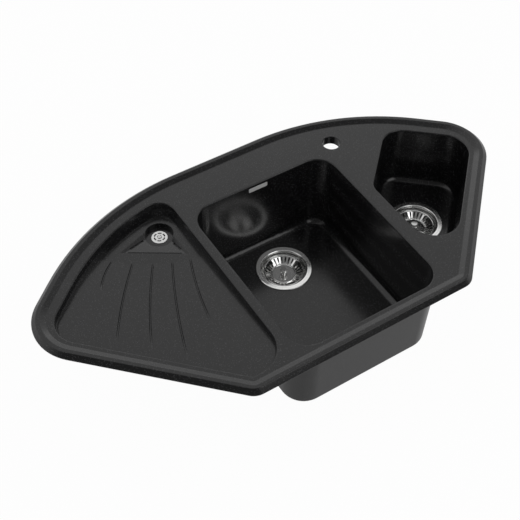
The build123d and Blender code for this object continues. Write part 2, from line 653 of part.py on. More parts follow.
for bowl, drain, floor in (
    ("main", main_drain, main_floor),
    ("small", small_drain, small_floor),
):
    centre = at(*drain, floor + FLANGE_PROUD)
    section = Plane(origin=centre, x_dir=(1, 0, 0), z_dir=(0, -1, 0))
    level = Plane(origin=centre)
    spin = Axis(centre, (0, 0, 1))

    # Pressed strainer bowl: a wide flange, a cup and a slotted floor
    with BuildPart() as waste_flange:
        with BuildSketch(section):
            flange_run = [
                (FLANGE_RADIUS - SHEET / 2, -1.7),
                (FLANGE_RADIUS - SHEET / 2, -SHEET),
                (FLANGE_RADIUS - 1.5 * SHEET, -SHEET / 2),
                (CUP_RADIUS + 6, -SHEET / 2),
                (CUP_RADIUS + 4, -2.2),
                (CUP_RADIUS + 0.8, -8),
                (CUP_RADIUS, SHEET / 2 - CUP_DEPTH + 8.5),
                (CUP_FLOOR_RADIUS, SHEET / 2 - CUP_DEPTH),
                (BOLT_NECK_RADIUS + 0.2, SHEET / 2 - CUP_DEPTH),
            ]
            Polygon(*sheet_corners(flange_run, SHEET), align=None)
        revolve(axis=spin)
        with BuildSketch(level.offset(-CUP_DEPTH - SHEET)):
            with PolarLocations(CUP_SLOT_CIRCLE, CUP_SLOTS):
                SlotOverall(CUP_SLOT_LENGTH, CUP_SLOT_WIDTH, rotation=90)
        extrude(amount=3 * SHEET, mode=Mode.SUBTRACT)
    waste_flange.part.label = f"{bowl}_waste_flange"
    export_step(waste_flange.part, f"parts/{bowl}_waste_flange.step")

    with BuildPart() as waste_seal:
        with BuildSketch(level.offset(-FLANGE_PROUD)):
            Circle(FLANGE_RADIUS - SHEET - 1.5)
            Circle(DRAIN_HOLE_DIAMETER / 2 + 2, mode=Mode.SUBTRACT)
        extrude(amount=SEAL_THICKNESS)
    waste_seal.part.label = f"{bowl}_waste_seal"
    export_step(waste_seal.part, f"parts/{bowl}_waste_seal.step")

    with BuildPart() as waste_gasket:
        with BuildSketch(level.offset(body_top)):
            Circle(BODY_FLANGE_RADIUS - 1)
            Circle(DRAIN_HOLE_DIAMETER / 2 + 1, mode=Mode.SUBTRACT)
        extrude(amount=GASKET_THICKNESS)
    waste_gasket.part.label = f"{bowl}_waste_gasket"
    export_step(waste_gasket.part, f"parts/{bowl}_waste_gasket.step")

    # Moulded lower body: a funnel with a bar that takes the bolt
    with BuildPart() as waste_body:
        with BuildSketch(section):
            with BuildLine():
                Polyline(
                    (BODY_BORE, body_top),
                    (BODY_FLANGE_RADIUS, body_top),
                    (BODY_FLANGE_RADIUS, body_top - 4),
                    (BODY_BORE + BODY_WALL, body_top - 5.5),
                    (BODY_BORE + BODY_WALL, cone_top),
                    (OUTLET_RADIUS, cone_foot),
                    (OUTLET_RADIUS, outlet_foot),
                    (OUTLET_BORE, outlet_foot),
                    (OUTLET_BORE, cone_foot + 1.5),
                    (BODY_BORE, cone_top + 1.5),
                    close=True,
                )
            make_face()
        revolve(axis=spin)
        with BuildSketch(level.offset(cone_top - BAR_THICKNESS)):
            Rectangle(2 * (BODY_BORE - BAR_THICKNESS), BAR_WIDTH)
        extrude(amount=BAR_THICKNESS)
        with BuildSketch(level.offset(cone_top - BOLT_BOSS_DEPTH)):
            Circle(BOLT_HEAD_RADIUS)
        extrude(amount=BOLT_BOSS_DEPTH)
        if bowl == "main":
            branch_plane = Plane(
                origin=centre + Vector(0, BODY_BORE, body_top - BRANCH_DROP),
                x_dir=(1, 0, 0),
                z_dir=(0, 1, 0),
            )
            with BuildSketch(branch_plane.offset(BOSS_OVERLAP)):
                Circle(BRANCH_RADIUS)
            extrude(amount=BRANCH_LENGTH)
            with BuildSketch(branch_plane.offset(BOSS_OVERLAP)):
                Circle(BRANCH_RADIUS + SHOULDER)
            extrude(amount=BRANCH_SHOULDER_LENGTH)
            with BuildSketch(branch_plane.offset(BOSS_OVERLAP - BRANCH_BORE)):
                Circle(BRANCH_BORE)
            extrude(amount=BRANCH_LENGTH + BRANCH_BORE, mode=Mode.SUBTRACT)
        with Locations(level.offset(cone_top)):
            Hole(BOLT_SHANK_RADIUS + BOLT_SLACK, depth=BOLT_BOSS_DEPTH + BOSS_OVERLAP)
    waste_body.part.label = f"{bowl}_waste_body"
    export_step(waste_body.part, f"parts/{bowl}_waste_body.step")

    with BuildPart() as waste_bolt:
        with BuildSketch(section):
            with BuildLine():
                Polyline(
                    (BOLT_SOCKET_RADIUS, head_top),
                    (BOLT_HEAD_RADIUS, head_top),
                    (BOLT_HEAD_RADIUS, cup_floor),
                    (BOLT_NECK_RADIUS, cup_floor),
                    (BOLT_NECK_RADIUS, cone_top + 1),
                    (BOLT_SHANK_RADIUS, cone_top + 1),
                    (BOLT_SHANK_RADIUS, head_top - BOLT_LENGTH),
                    (0, head_top - BOLT_LENGTH),
                    (0, head_top - BOLT_SOCKET_DEPTH),
                    (BOLT_SOCKET_RADIUS, head_top - BOLT_SOCKET_DEPTH),
                    close=True,
                )
            make_face()
        revolve(axis=spin)
    waste_bolt.part.label = f"{bowl}_waste_bolt"
    export_step(waste_bolt.part, f"parts/{bowl}_waste_bolt.step")

    # Lift-out basket: a rolled rim, a slotted cone and a dished middle
    with BuildPart() as basket:
        with BuildSketch(section):
            basket_run = [
                (BASKET_RADIUS, -8.6),
                (BASKET_RADIUS - 0.4, -6.6),
                (BASKET_RADIUS - 1.8, -6.6),
                (BASKET_RADIUS - 3, -8.4),
                (BASKET_DISH_RADIUS + 2.2, -17),
                (BASKET_DISH_RADIUS + 0.4, -14.9),
                (BASKET_DISH_RADIUS - 1, -14.9),
                (14, -17.4),
                (6, dish_floor),
                (POST_RADIUS + 0.1, dish_floor),
            ]
            Polygon(*sheet_corners(basket_run, BASKET_SHEET), align=None)
        revolve(axis=spin)
        inner, outer = BASKET_SLOT_ENDS
        slant = math.tan(math.radians(BASKET_SLOT_ANGLE / 2))
        with BuildSketch(level.offset(KNOB_TOP)):
            with PolarLocations(0, BASKET_SLOTS):
                Polygon(
                    (inner / 2, -inner / 2 * slant),
                    (2 * outer, -2 * outer * slant),
                    (2 * outer, 2 * outer * slant),
                    (inner / 2, inner / 2 * slant),
                    align=None,
                )
            Circle(inner, mode=Mode.SUBTRACT)
            Circle(outer, mode=Mode.INTERSECT)
        extrude(amount=KNOB_TOP - BASKET_HEIGHT, mode=Mode.SUBTRACT)
    basket.part.label = f"{bowl}_basket"
    export_step(basket.part, f"parts/{bowl}_basket.step")

    with BuildPart() as knob:
        with BuildSketch(section):
            with BuildLine():
                Polyline(
                    (POST_RADIUS + 0.1, dish_floor + BASKET_SHEET / 2),
                    (4.6, dish_floor + BASKET_SHEET / 2),
                    (3.8, -13),
                    (4.4, -10.4),
                    (KNOB_RADIUS - 0.8, -8.6),
                    (KNOB_RADIUS, -7.6),
                    (KNOB_RADIUS, KNOB_TOP - 1.2),
                    (KNOB_RADIUS - 0.4, KNOB_TOP - 0.4),
                    (KNOB_RADIUS - 1.2, KNOB_TOP),
                    (0, KNOB_TOP),
                    (0, KNOB_TOP - 2.2),
                    (POST_RADIUS + 0.1, KNOB_TOP - 2.2),
                    close=True,
                )
            make_face()
        revolve(axis=spin)
    knob.part.label = f"{bowl}_knob"
    export_step(knob.part, f"parts/{bowl}_knob.step")

    with BuildPart() as basket_post:
        with BuildSketch(section):
            with BuildLine():
                Polyline(
                    (0, KNOB_TOP - 2.4),
                    (POST_RADIUS, KNOB_TOP - 2.4),
                    (POST_RADIUS, collar_top),
                    (POST_RADIUS + 2, collar_top),
                    (POST_RADIUS + 2, stopper_top),
                    (POST_RADIUS + 0.4, stopper_top),
                    (POST_RADIUS + 0.4, stopper_web),
                    (0, stopper_web),
                    close=True,
                )
            make_face()
        revolve(axis=spin)
    basket_post.part.label = f"{bowl}_basket_post"
    export_step(basket_post.part, f"parts/{bowl}_basket_post.step")

    with BuildPart() as basket_stopper:
        with BuildSketch(section):
            with BuildLine():
                Polyline(
                    (POST_RADIUS + 0.5, stopper_top),
                    (STOPPER_RADIUS / 2, stopper_top),
                    (STOPPER_RADIUS, cup_floor + 3),
                    (STOPPER_RADIUS, cup_floor + 0.2),
                    (BOLT_HEAD_RADIUS + 1, cup_floor + 0.2),
                    (BOLT_HEAD_RADIUS + 1, stopper_web),
                    (POST_RADIUS + 0.5, stopper_web),
                    close=True,
                )
            make_face()
        revolve(axis=spin)
    basket_stopper.part.label = f"{bowl}_basket_stopper"
    export_step(basket_stopper.part, f"parts/{bowl}_basket_stopper.step")

    # Split pin that snaps into the bolt's socket
    with BuildPart() as basket_catch:
        with BuildSketch(section):
            with BuildLine():
                Polyline(
                    (0, stopper_web),
                    (CATCH_RADIUS - 0.6, stopper_web),
                    (CATCH_RADIUS - 0.6, stopper_web - 4.4),
                    (CATCH_RADIUS, stopper_web - 5.4),
                    (CATCH_RADIUS, stopper_web - 6.6),
                    (CATCH_RADIUS - 1, stopper_web - CATCH_LENGTH),
                    (0, stopper_web - CATCH_LENGTH),
                    close=True,
                )
            make_face()
        revolve(axis=spin)
        with BuildSketch(level.offset(stopper_web - CATCH_LENGTH)):
            Rectangle(2 * BOLT_HEAD_RADIUS, CATCH_SLIT)
            Rectangle(CATCH_SLIT, 2 * BOLT_HEAD_RADIUS)
        extrude(amount=CATCH_SLIT_DEPTH, mode=Mode.SUBTRACT)
    basket_catch.part.label = f"{bowl}_basket_catch"
    export_step(basket_catch.part, f"parts/{bowl}_basket_catch.step")

# ---------------------------------------------------------------------------
# Tray drain
# ---------------------------------------------------------------------------
cap_level = Plane(origin=at(*cap_centre, cap_seat))
cap_section = Plane(origin=cap_level.origin, x_dir=(1, 0, 0), z_dir=(0, -1, 0))
cap_spin = Axis(cap_level.origin, (0, 0, 1))
pot_top = -CAP_BOSS_THICKNESS - DRAINER_SEAL_THICKNESS
pot_foot = pot_top - DRAINER_POT_DEPTH

with BuildPart() as drainer_cap:
    with BuildSketch(cap_level):
        Circle(CAP_DIAMETER / 2)
        Circle(DRAINER_SCREW_RADIUS + BOLT_SLACK, mode=Mode.SUBTRACT)
        with PolarLocations(CAP_SLOT_CIRCLE, CAP_SLOTS):
            SlotOverall(CAP_SLOT_LENGTH, CAP_SLOT_WIDTH, rotation=90, mode=Mode.SUBTRACT)
    extrude(amount=CAP_THICKNESS)
    cap_rim = drainer_cap.edges().group_by(Axis.Z)[-1].sort_by(SortBy.LENGTH)[-1]
    chamfer(cap_rim, length=CAP_EDGE)
drainer_cap.part.label = "drainer_cap"
export_step(drainer_cap.part, "parts/drainer_cap.step")

with BuildPart() as drainer_screw:
    with BuildSketch(cap_section):
        with BuildLine():
            Polyline(
                (0, CAP_THICKNESS + 1.8),
                (2.6, CAP_THICKNESS + 1.8),
                (DRAINER_SCREW_HEAD, CAP_THICKNESS + 0.8),
                (DRAINER_SCREW_HEAD, CAP_THICKNESS),
                (DRAINER_SCREW_RADIUS, CAP_THICKNESS),
                (DRAINER_SCREW_RADIUS, -DRAINER_SCREW_LENGTH),
                (0, -DRAINER_SCREW_LENGTH),
                close=True,
            )
        make_face()
    revolve(axis=cap_spin)
    with BuildSketch(cap_level.offset(CAP_THICKNESS + 1)):
        Rectangle(3 * DRAINER_SCREW_HEAD, DRAINER_SCREW_SLOT)
    extrude(amount=DRAINER_SCREW_SLOT, mode=Mode.SUBTRACT)
drainer_screw.part.label = "drainer_screw"
export_step(drainer_screw.part, "parts/drainer_screw.step")

with BuildPart() as drainer_seal:
    with BuildSketch(cap_level.offset(pot_top)):
        Circle(DRAINER_FLANGE_RADIUS - 2)
        Circle(CAP_HOLE_DIAMETER / 2 + 2, mode=Mode.SUBTRACT)
    extrude(amount=DRAINER_SEAL_THICKNESS)
drainer_seal.part.label = "drainer_seal"
export_step(drainer_seal.part, "parts/drainer_seal.step")

# Pot under the tray with a side spigot, and a bar that takes the screw
with BuildPart() as drainer_outlet:
    with BuildSketch(cap_section):
        with BuildLine():
            Polyline(
                (0, pot_foot),
                (DRAINER_POT_RADIUS, pot_foot),
                (DRAINER_POT_RADIUS, pot_top - DRAINER_FLANGE_THICKNESS),
                (DRAINER_FLANGE_RADIUS, pot_top - DRAINER_FLANGE_THICKNESS),
                (DRAINER_FLANGE_RADIUS, pot_top),
                (DRAINER_POT_RADIUS - HOSE_WALL, pot_top),
                (DRAINER_POT_RADIUS - HOSE_WALL, pot_foot + HOSE_WALL),
                (0, pot_foot + HOSE_WALL),
                close=True,
            )
        make_face()
    revolve(axis=cap_spin)
    with BuildSketch(cap_level.offset(pot_top - DRAINER_BAR_DROP)):
        Rectangle(2 * DRAINER_POT_RADIUS - HOSE_WALL, DRAINER_BAR_WIDTH)
        Circle(DRAINER_SCREW_RADIUS + HOSE_WALL)
    extrude(amount=DRAINER_BAR_THICKNESS)
    with Locations(cap_level.offset(pot_top)):
        Hole(DRAINER_SCREW_RADIUS + BOLT_SLACK, depth=DRAINER_BAR_DROP + BOSS_OVERLAP)
    spigot_z = pot_foot + DRAINER_SPIGOT_RADIUS + DRAINER_SPIGOT_FLOOR
    spigot_plane = Plane(
        origin=cap_level.origin + Vector(0, 0, spigot_z),
        x_dir=(1, 0, 0),
        z_dir=(0, -1, 0),
    )
    spigot_root = DRAINER_POT_RADIUS - HOSE_WALL
    with BuildSketch(spigot_plane.offset(spigot_root)):
        Circle(DRAINER_SPIGOT_RADIUS)
    extrude(amount=DRAINER_SPIGOT_REACH - spigot_root)
    with BuildSketch(spigot_plane.offset(spigot_root)):
        Circle(DRAINER_SPIGOT_RADIUS + DRAINER_SPIGOT_FLOOR)
    extrude(amount=DRAINER_SHOULDER_REACH - spigot_root)
    with BuildSketch(spigot_plane):
        Circle(DRAINER_SPIGOT_RADIUS - HOSE_WALL)
    extrude(amount=DRAINER_SPIGOT_REACH, mode=Mode.SUBTRACT)
drainer_outlet.part.label = "drainer_outlet"
export_step(drainer_outlet.part, "parts/drainer_outlet.step")

# ---------------------------------------------------------------------------
# Fixing clips, folded in under the sink
# ---------------------------------------------------------------------------
for name, (x, y, outward) in clip_spots.items():
    pivot = at(x, y, LUG_FOOT)
    folded = facing(outward + 90)
    side_plane = Plane(origin=pivot, x_dir=folded, z_dir=folded.cross(Vector(0, 0, 1)))
    hub = -CLIP_GAP - CLIP_SHEET / 2
    with BuildPart() as clip:
        with BuildSketch(side_plane.offset(-CLIP_WIDTH / 2)):
            with BuildLine():
                FilletPolyline(
                    (-CLIP_TAIL, hub),
                    (CLIP_TAIL, hub),
                    (CLIP_TAIL + 4, -CLIP_DROP),
                    (CLIP_REACH - 3, -CLIP_DROP),
                    (CLIP_REACH, -CLIP_CLAW),
                    radius=CLIP_BEND,
                )
            trace(line_width=CLIP_SHEET)
        extrude(amount=CLIP_WIDTH)
        with Locations(Plane(origin=pivot)):
            Hole(CLIP_HOLE_RADIUS, depth=2 * CLIP_SHEET)
    clip.part.label = name
    export_step(clip.part, f"parts/{name}.step")

screw_head_top = -CLIP_GAP - CLIP_SHEET - SCREW_HEAD_GAP
with BuildPart() as fixing_clip_screws:
    with BuildSketch(PLAN.offset(LUG_FOOT + screw_head_top)):
        with Locations(*lug_spots):
            Circle(SCREW_HEAD_RADIUS)
    extrude(amount=-SCREW_HEAD_HEIGHT)
    with BuildSketch(PLAN.offset(LUG_FOOT + screw_head_top)):
        with Locations(*lug_spots):
            Circle(SCREW_RADIUS)
    extrude(amount=SCREW_GRIP)
    with BuildSketch(PLAN.offset(LUG_FOOT + screw_head_top - SCREW_HEAD_HEIGHT)):
        with Locations(*lug_spots):
            Rectangle(CROSS_LENGTH, CROSS_WIDTH)
            Rectangle(CROSS_WIDTH, CROSS_LENGTH)
    extrude(amount=CROSS_DEPTH, mode=Mode.SUBTRACT)
fixing_clip_screws.part.label = "fixing_clip_screws"
export_step(fixing_clip_screws.part, "parts/fixing_clip_screws.step")
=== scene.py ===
import math

import bmesh
import bpy
from mathutils import Matrix, Vector


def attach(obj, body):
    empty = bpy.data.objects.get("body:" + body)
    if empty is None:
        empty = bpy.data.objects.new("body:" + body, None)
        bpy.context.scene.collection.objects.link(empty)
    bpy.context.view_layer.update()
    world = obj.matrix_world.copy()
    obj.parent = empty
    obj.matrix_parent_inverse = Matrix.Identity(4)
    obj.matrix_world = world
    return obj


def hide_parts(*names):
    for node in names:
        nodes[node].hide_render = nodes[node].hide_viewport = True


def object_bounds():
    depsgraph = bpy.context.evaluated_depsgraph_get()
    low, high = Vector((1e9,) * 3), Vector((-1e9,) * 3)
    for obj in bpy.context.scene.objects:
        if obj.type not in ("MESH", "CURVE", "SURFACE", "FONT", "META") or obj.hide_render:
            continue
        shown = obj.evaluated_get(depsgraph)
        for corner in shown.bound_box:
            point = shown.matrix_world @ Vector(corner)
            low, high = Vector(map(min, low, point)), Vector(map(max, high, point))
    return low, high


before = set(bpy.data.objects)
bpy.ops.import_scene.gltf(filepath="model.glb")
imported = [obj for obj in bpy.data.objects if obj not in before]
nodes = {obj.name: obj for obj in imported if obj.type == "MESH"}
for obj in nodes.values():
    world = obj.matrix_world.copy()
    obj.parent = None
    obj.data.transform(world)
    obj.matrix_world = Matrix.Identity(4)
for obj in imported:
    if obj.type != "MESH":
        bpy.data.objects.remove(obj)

cad_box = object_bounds()
scene = bpy.context.scene

# ---------------------------------------------------------------------------
# Places on the sink, in millimetres from the tap hole
# ---------------------------------------------------------------------------
MM = 0.001
MAIN_WASTE = (-176.0, -107.0, -159.5)
SMALL_WASTE = (95.5, -169.5, -123.5)
TRAY_CAP = (-394.5, -14.0, -29.0)
TRAY_SPIGOT_FOOT = (-394.5, -40.0, -58.0)
BRANCH_FOOT = (-176.0, -58.0, -191.5)
OUTLET_DROP = 81.6


def metres(*sizes):
    """Millimetres turned into the scene's metres."""
    return tuple(size * MM for size in sizes)


# ---------------------------------------------------------------------------
# Camera, lamps and surroundings
# ---------------------------------------------------------------------------
CAMERA_PLACE = Vector(metres(-926.2, -1182.8, 1394.6))
CAMERA_AIM = Vector((0.35242, 0.54648, -0.75971)).normalized()
CAMERA_RIGHT = Vector((0.84554, -0.53384, 0.00823)).normalized()
CAMERA_LENS = 71.29

camera_data = bpy.data.cameras.new("sink_camera")
camera_data.sensor_width = 36.0
camera_data.lens = CAMERA_LENS
camera_data.clip_start = 0.05
camera_data.clip_end = 50.0
camera = bpy.data.objects.new("sink_camera", camera_data)
scene.collection.objects.link(camera)
camera_up = CAMERA_RIGHT.cross(CAMERA_AIM).normalized()
camera_turn = Matrix((CAMERA_RIGHT, camera_up, -CAMERA_AIM)).transposed()
camera.matrix_world = Matrix.Translation(CAMERA_PLACE) @ camera_turn.to_4x4()
scene.camera = camera
scene.view_settings.view_transform = "Standard"


def add_node(tree, kind, settings=None, values=None):
    """A new node with its settings and its sockets' values."""
    made = tree.nodes.new(kind)
    for name, value in (settings or {}).items():
        setattr(made, name, value)
    for name, value in (values or {}).items():
        made.inputs[name].default_value = value
    return made


def soft_lamp(name, place, aim, width, height, brightness):
    """A soft rectangular lamp of an even brightness."""
    data = bpy.data.lights.new(name, "AREA")
    data.shape = "RECTANGLE"
    data.size = width
    data.size_y = height
    data.energy = brightness * math.pi * width * height
    lamp = bpy.data.objects.new(name, data)
    scene.collection.objects.link(lamp)
    lamp.location = place
    lamp.rotation_euler = (Vector(aim) - Vector(place)).to_track_quat("-Z", "Y").to_euler()
    lamp.visible_camera = False


# The surroundings are white to the camera. Reflections see a studio that is dark on
# the camera's side and bright at the back and on the right.
WHITE = (1, 1, 1, 1)
SKY_LIGHT = 0.8
FRONT_SHINE = 0.16
BACK_SHINE = 0.9
RIGHT_SHINE = 0.85

middle = (cad_box[0] + cad_box[1]) / 2
soft_lamp("front_softbox", (0.55, -1.6, 1.65), middle, 1.5, 1.3, 1.4)
soft_lamp("back_softbox", (0.9, 2.0, 1.2), middle, 1.6, 0.9, 0.6)

world = bpy.data.worlds.new("pale_studio")
scene.world = world
world.use_nodes = True
sky = world.node_tree
sky.nodes.clear()
sky_out = add_node(sky, "ShaderNodeOutputWorld")
sky_path = add_node(sky, "ShaderNodeLightPath")
sky_way = add_node(sky, "ShaderNodeTexCoord")
sky_parts = add_node(sky, "ShaderNodeSeparateXYZ")
sky_back = add_node(
    sky,
    "ShaderNodeMapRange",
    {"interpolation_type": "SMOOTHSTEP"},
    {"From Min": -0.25, "From Max": 0.35, "To Min": FRONT_SHINE, "To Max": BACK_SHINE},
)
sky_right = add_node(
    sky,
    "ShaderNodeMapRange",
    {"interpolation_type": "SMOOTHSTEP"},
    {"From Min": 0.5, "From Max": 0.95, "To Min": 0.0, "To Max": RIGHT_SHINE},
)
sky_tone = add_node(sky, "ShaderNodeMath", {"operation": "MAXIMUM"})
sky_seen = add_node(sky, "ShaderNodeMath", {"operation": "MAXIMUM"})
sky_lit = add_node(sky, "ShaderNodeBackground", values={"Color": WHITE, "Strength": SKY_LIGHT})
sky_gloss = add_node(sky, "ShaderNodeBackground", values={"Strength": 1.0})
sky_white = add_node(sky, "ShaderNodeBackground", values={"Color": WHITE, "Strength": 1.0})
sky_shine = add_node(sky, "ShaderNodeMixShader")
sky_mix = add_node(sky, "ShaderNodeMixShader")
sky.links.new(sky_way.outputs["Generated"], sky_parts.inputs[0])
sky.links.new(sky_parts.outputs["Y"], sky_back.inputs["Value"])
sky.links.new(sky_parts.outputs["X"], sky_right.inputs["Value"])
sky.links.new(sky_back.outputs["Result"], sky_tone.inputs[0])
sky.links.new(sky_right.outputs["Result"], sky_tone.inputs[1])
sky.links.new(sky_tone.outputs[0], sky_gloss.inputs["Color"])
sky.links.new(sky_path.outputs["Is Glossy Ray"], sky_shine.inputs["Fac"])
sky.links.new(sky_lit.outputs[0], sky_shine.inputs[1])
sky.links.new(sky_gloss.outputs[0], sky_shine.inputs[2])
sky.links.new(sky_path.outputs["Is Camera Ray"], sky_seen.inputs[0])
sky.links.new(sky_path.outputs["Is Transmission Ray"], sky_seen.inputs[1])
sky.links.new(sky_seen.outputs[0], sky_mix.inputs["Fac"])
sky.links.new(sky_shine.outputs[0], sky_mix.inputs[1])
sky.links.new(sky_white.outputs[0], sky_mix.inputs[2])
sky.links.new(sky_mix.outputs[0], sky_out.inputs["Surface"])


# ---------------------------------------------------------------------------
# Effects that several materials share
# ---------------------------------------------------------------------------
def new_effect(name, inputs, outputs):
    """An empty effect group with its named sockets, and its two end nodes."""
    tree = bpy.data.node_groups.new(name, "ShaderNodeTree")
    kinds = {"vector": "NodeSocketVector", "value": "NodeSocketFloat"}
    for label, kind in inputs:
        tree.interface.new_socket(name=label, in_out="INPUT", socket_type=kinds[kind])
    for label, kind in outputs:
        tree.interface.new_socket(name=label, in_out="OUTPUT", socket_type=kinds[kind])
    return tree, add_node(tree, "NodeGroupInput"), add_node(tree, "NodeGroupOutput")


def mineral_speckle():
    """Fine mineral grains: a mask of pale specks, a cloudy tone, and a height."""
    tree, given, result = new_effect(
        "mineral_speckle",
        [("Vector", "vector"), ("Grain Scale", "value"), ("Speck Share", "value")],
        [("Specks", "value"), ("Tone", "value"), ("Height", "value")],
    )
    cells = add_node(tree, "ShaderNodeTexVoronoi", {"feature": "F1"}, {"Randomness": 1.0})
    parts = add_node(tree, "ShaderNodeSeparateColor")
    chosen = add_node(tree, "ShaderNodeMath", {"operation": "LESS_THAN"})
    dot = add_node(
        tree,
        "ShaderNodeMapRange",
        {"interpolation_type": "SMOOTHSTEP"},
        {"From Min": 0.42, "From Max": 0.18, "To Min": 0.0, "To Max": 1.0},
    )
    both = add_node(tree, "ShaderNodeMath", {"operation": "MULTIPLY"})
    grain = add_node(tree, "ShaderNodeTexNoise", values={"Detail": 3.0, "Roughness": 0.65})
    cloud_scale = add_node(tree, "ShaderNodeMath", {"operation": "MULTIPLY"})
    cloud_scale.inputs[1].default_value = 0.12
    cloud = add_node(tree, "ShaderNodeTexNoise", values={"Detail": 4.0, "Roughness": 0.6})
    link = tree.links.new
    link(given.outputs["Vector"], cells.inputs["Vector"])
    link(given.outputs["Grain Scale"], cells.inputs["Scale"])
    link(cells.outputs["Color"], parts.inputs[0])
    link(parts.outputs[0], chosen.inputs[0])
    link(given.outputs["Speck Share"], chosen.inputs[1])
    link(cells.outputs["Distance"], dot.inputs["Value"])
    link(dot.outputs["Result"], both.inputs[0])
    link(chosen.outputs[0], both.inputs[1])
    link(both.outputs[0], result.inputs["Specks"])
    link(given.outputs["Vector"], grain.inputs["Vector"])
    link(given.outputs["Grain Scale"], grain.inputs["Scale"])
    link(grain.outputs["Fac"], result.inputs["Height"])
    link(given.outputs["Vector"], cloud.inputs["Vector"])
    link(given.outputs["Grain Scale"], cloud_scale.inputs[0])
    link(cloud_scale.outputs[0], cloud.inputs["Scale"])
    link(cloud.outputs["Fac"], result.inputs["Tone"])
    return tree


def turned_lines():
    """Fine lines round the Z axis, as turning, polishing or spinning leaves them."""
    tree, given, result = new_effect(
        "turned_lines",
        [("Vector", "vector"), ("Line Scale", "value")],
        [("Height", "value"), ("Streaks", "value")],
    )
    flat = add_node(tree, "ShaderNodeVectorMath", {"operation": "MULTIPLY"})
    flat.inputs[1].default_value = (1, 1, 0)
    length = add_node(tree, "ShaderNodeVectorMath", {"operation": "LENGTH"})
    scaled = add_node(tree, "ShaderNodeMath", {"operation": "MULTIPLY"})
    lines = add_node(
        tree,
        "ShaderNodeTexNoise",
        {"noise_dimensions": "1D"},
        {"Scale": 1.0, "Detail": 2.0, "Roughness": 0.6},
    )
    wide = add_node(
        tree,
        "ShaderNodeTexNoise",
        {"noise_dimensions": "1D"},
        {"Scale": 0.11, "Detail": 1.0, "Roughness": 0.5},
    )
    link = tree.links.new
    link(given.outputs["Vector"], flat.inputs[0])
    link(flat.outputs["Vector"], length.inputs[0])
    link(length.outputs["Value"], scaled.inputs[0])
    link(given.outputs["Line Scale"], scaled.inputs[1])
    link(scaled.outputs[0], lines.inputs["W"])
    link(scaled.outputs[0], wide.inputs["W"])
    link(lines.outputs["Fac"], result.inputs["Height"])
    link(wide.outputs["Fac"], result.inputs["Streaks"])
    return tree


def handling_marks():
    """Broad soft patches where hands and cloths have dulled a surface."""
    tree, given, result = new_effect(
        "handling_marks",
        [("Vector", "vector"), ("Patch Scale", "value")],
        [("Patches", "value")],
    )
    patches = add_node(
        tree,
        "ShaderNodeTexNoise",
        values={"Detail": 5.0, "Roughness": 0.55, "Distortion": 0.4},
    )
    spread = add_node(
        tree,
        "ShaderNodeMapRange",
        {"interpolation_type": "SMOOTHSTEP"},
        {"From Min": 0.35, "From Max": 0.65, "To Min": 0.0, "To Max": 1.0},
    )
    link = tree.links.new
    link(given.outputs["Vector"], patches.inputs["Vector"])
    link(given.outputs["Patch Scale"], patches.inputs["Scale"])
    link(patches.outputs["Fac"], spread.inputs["Value"])
    link(spread.outputs["Result"], result.inputs["Patches"])
    return tree


def moulded_skin():
    """The fine texture a mould leaves on plastic and rubber."""
    tree, given, result = new_effect(
        "moulded_skin",
        [("Vector", "vector"), ("Skin Scale", "value")],
        [("Height", "value"), ("Tone", "value")],
    )
    skin = add_node(tree, "ShaderNodeTexNoise", values={"Detail": 2.0, "Roughness": 0.5})
    pores = add_node(tree, "ShaderNodeTexVoronoi", {"feature": "SMOOTH_F1"}, {"Smoothness": 0.4})
    both = add_node(tree, "ShaderNodeMath", {"operation": "MULTIPLY_ADD"})
    both.inputs[1].default_value = 0.5
    link = tree.links.new
    for texture in (skin, pores):
        link(given.outputs["Vector"], texture.inputs["Vector"])
        link(given.outputs["Skin Scale"], texture.inputs["Scale"])
    link(pores.outputs["Distance"], both.inputs[0])
    link(skin.outputs["Fac"], both.inputs[2])
    link(both.outputs[0], result.inputs["Height"])
    link(skin.outputs["Fac"], result.inputs["Tone"])
    return tree


SPECKLE = mineral_speckle()
TURNED = turned_lines()
MARKS = handling_marks()
SKIN = moulded_skin()


# ---------------------------------------------------------------------------
# Materials
# ---------------------------------------------------------------------------
def new_material(name, colour, metallic):
    """A material with its main shader, and its coordinates on the object."""
    material = bpy.data.materials.new(name)
    material.use_nodes = True
    material.diffuse_color = (*colour, 1)
    tree = material.node_tree
    shader = tree.nodes["Principled BSDF"]
    shader.inputs["Base Color"].default_value = (*colour, 1)
    shader.inputs["Metallic"].default_value = metallic
    where = add_node(tree, "ShaderNodeTexCoord")
    return material, tree, shader, where.outputs["Object"]


def use_effect(tree, effect, vector, values):
    """An effect group placed in a material."""
    group = add_node(tree, "ShaderNodeGroup")
    group.node_tree = effect
    for name, value in values.items():
        group.inputs[name].default_value = value
    tree.links.new(vector, group.inputs["Vector"])
    return group


def spread_value(tree, source, low, high):
    """A mask spread between two values."""
    ranged = add_node(tree, "ShaderNodeMapRange", values={"To Min": low, "To Max": high})
    tree.links.new(source, ranged.inputs["Value"])
    return ranged.outputs["Result"]


def mix_colours(tree, mask, low, high):
    """One colour where a mask is 0, and another where it is 1."""
    mixed = add_node(tree, "ShaderNodeMix", {"data_type": "RGBA"})
    mixed.inputs[6].default_value = (*low, 1)
    mixed.inputs[7].default_value = (*high, 1)
    tree.links.new(mask, mixed.inputs[0])
    return mixed.outputs[2]


def raise_surface(tree, shader, height, strength, depth):
    """Turns a height into a bump on the shader's normal."""
    bump = add_node(tree, "ShaderNodeBump", values={"Strength": strength, "Distance": depth})
    tree.links.new(height, bump.inputs["Height"])
    tree.links.new(bump.outputs["Normal"], shader.inputs["Normal"])


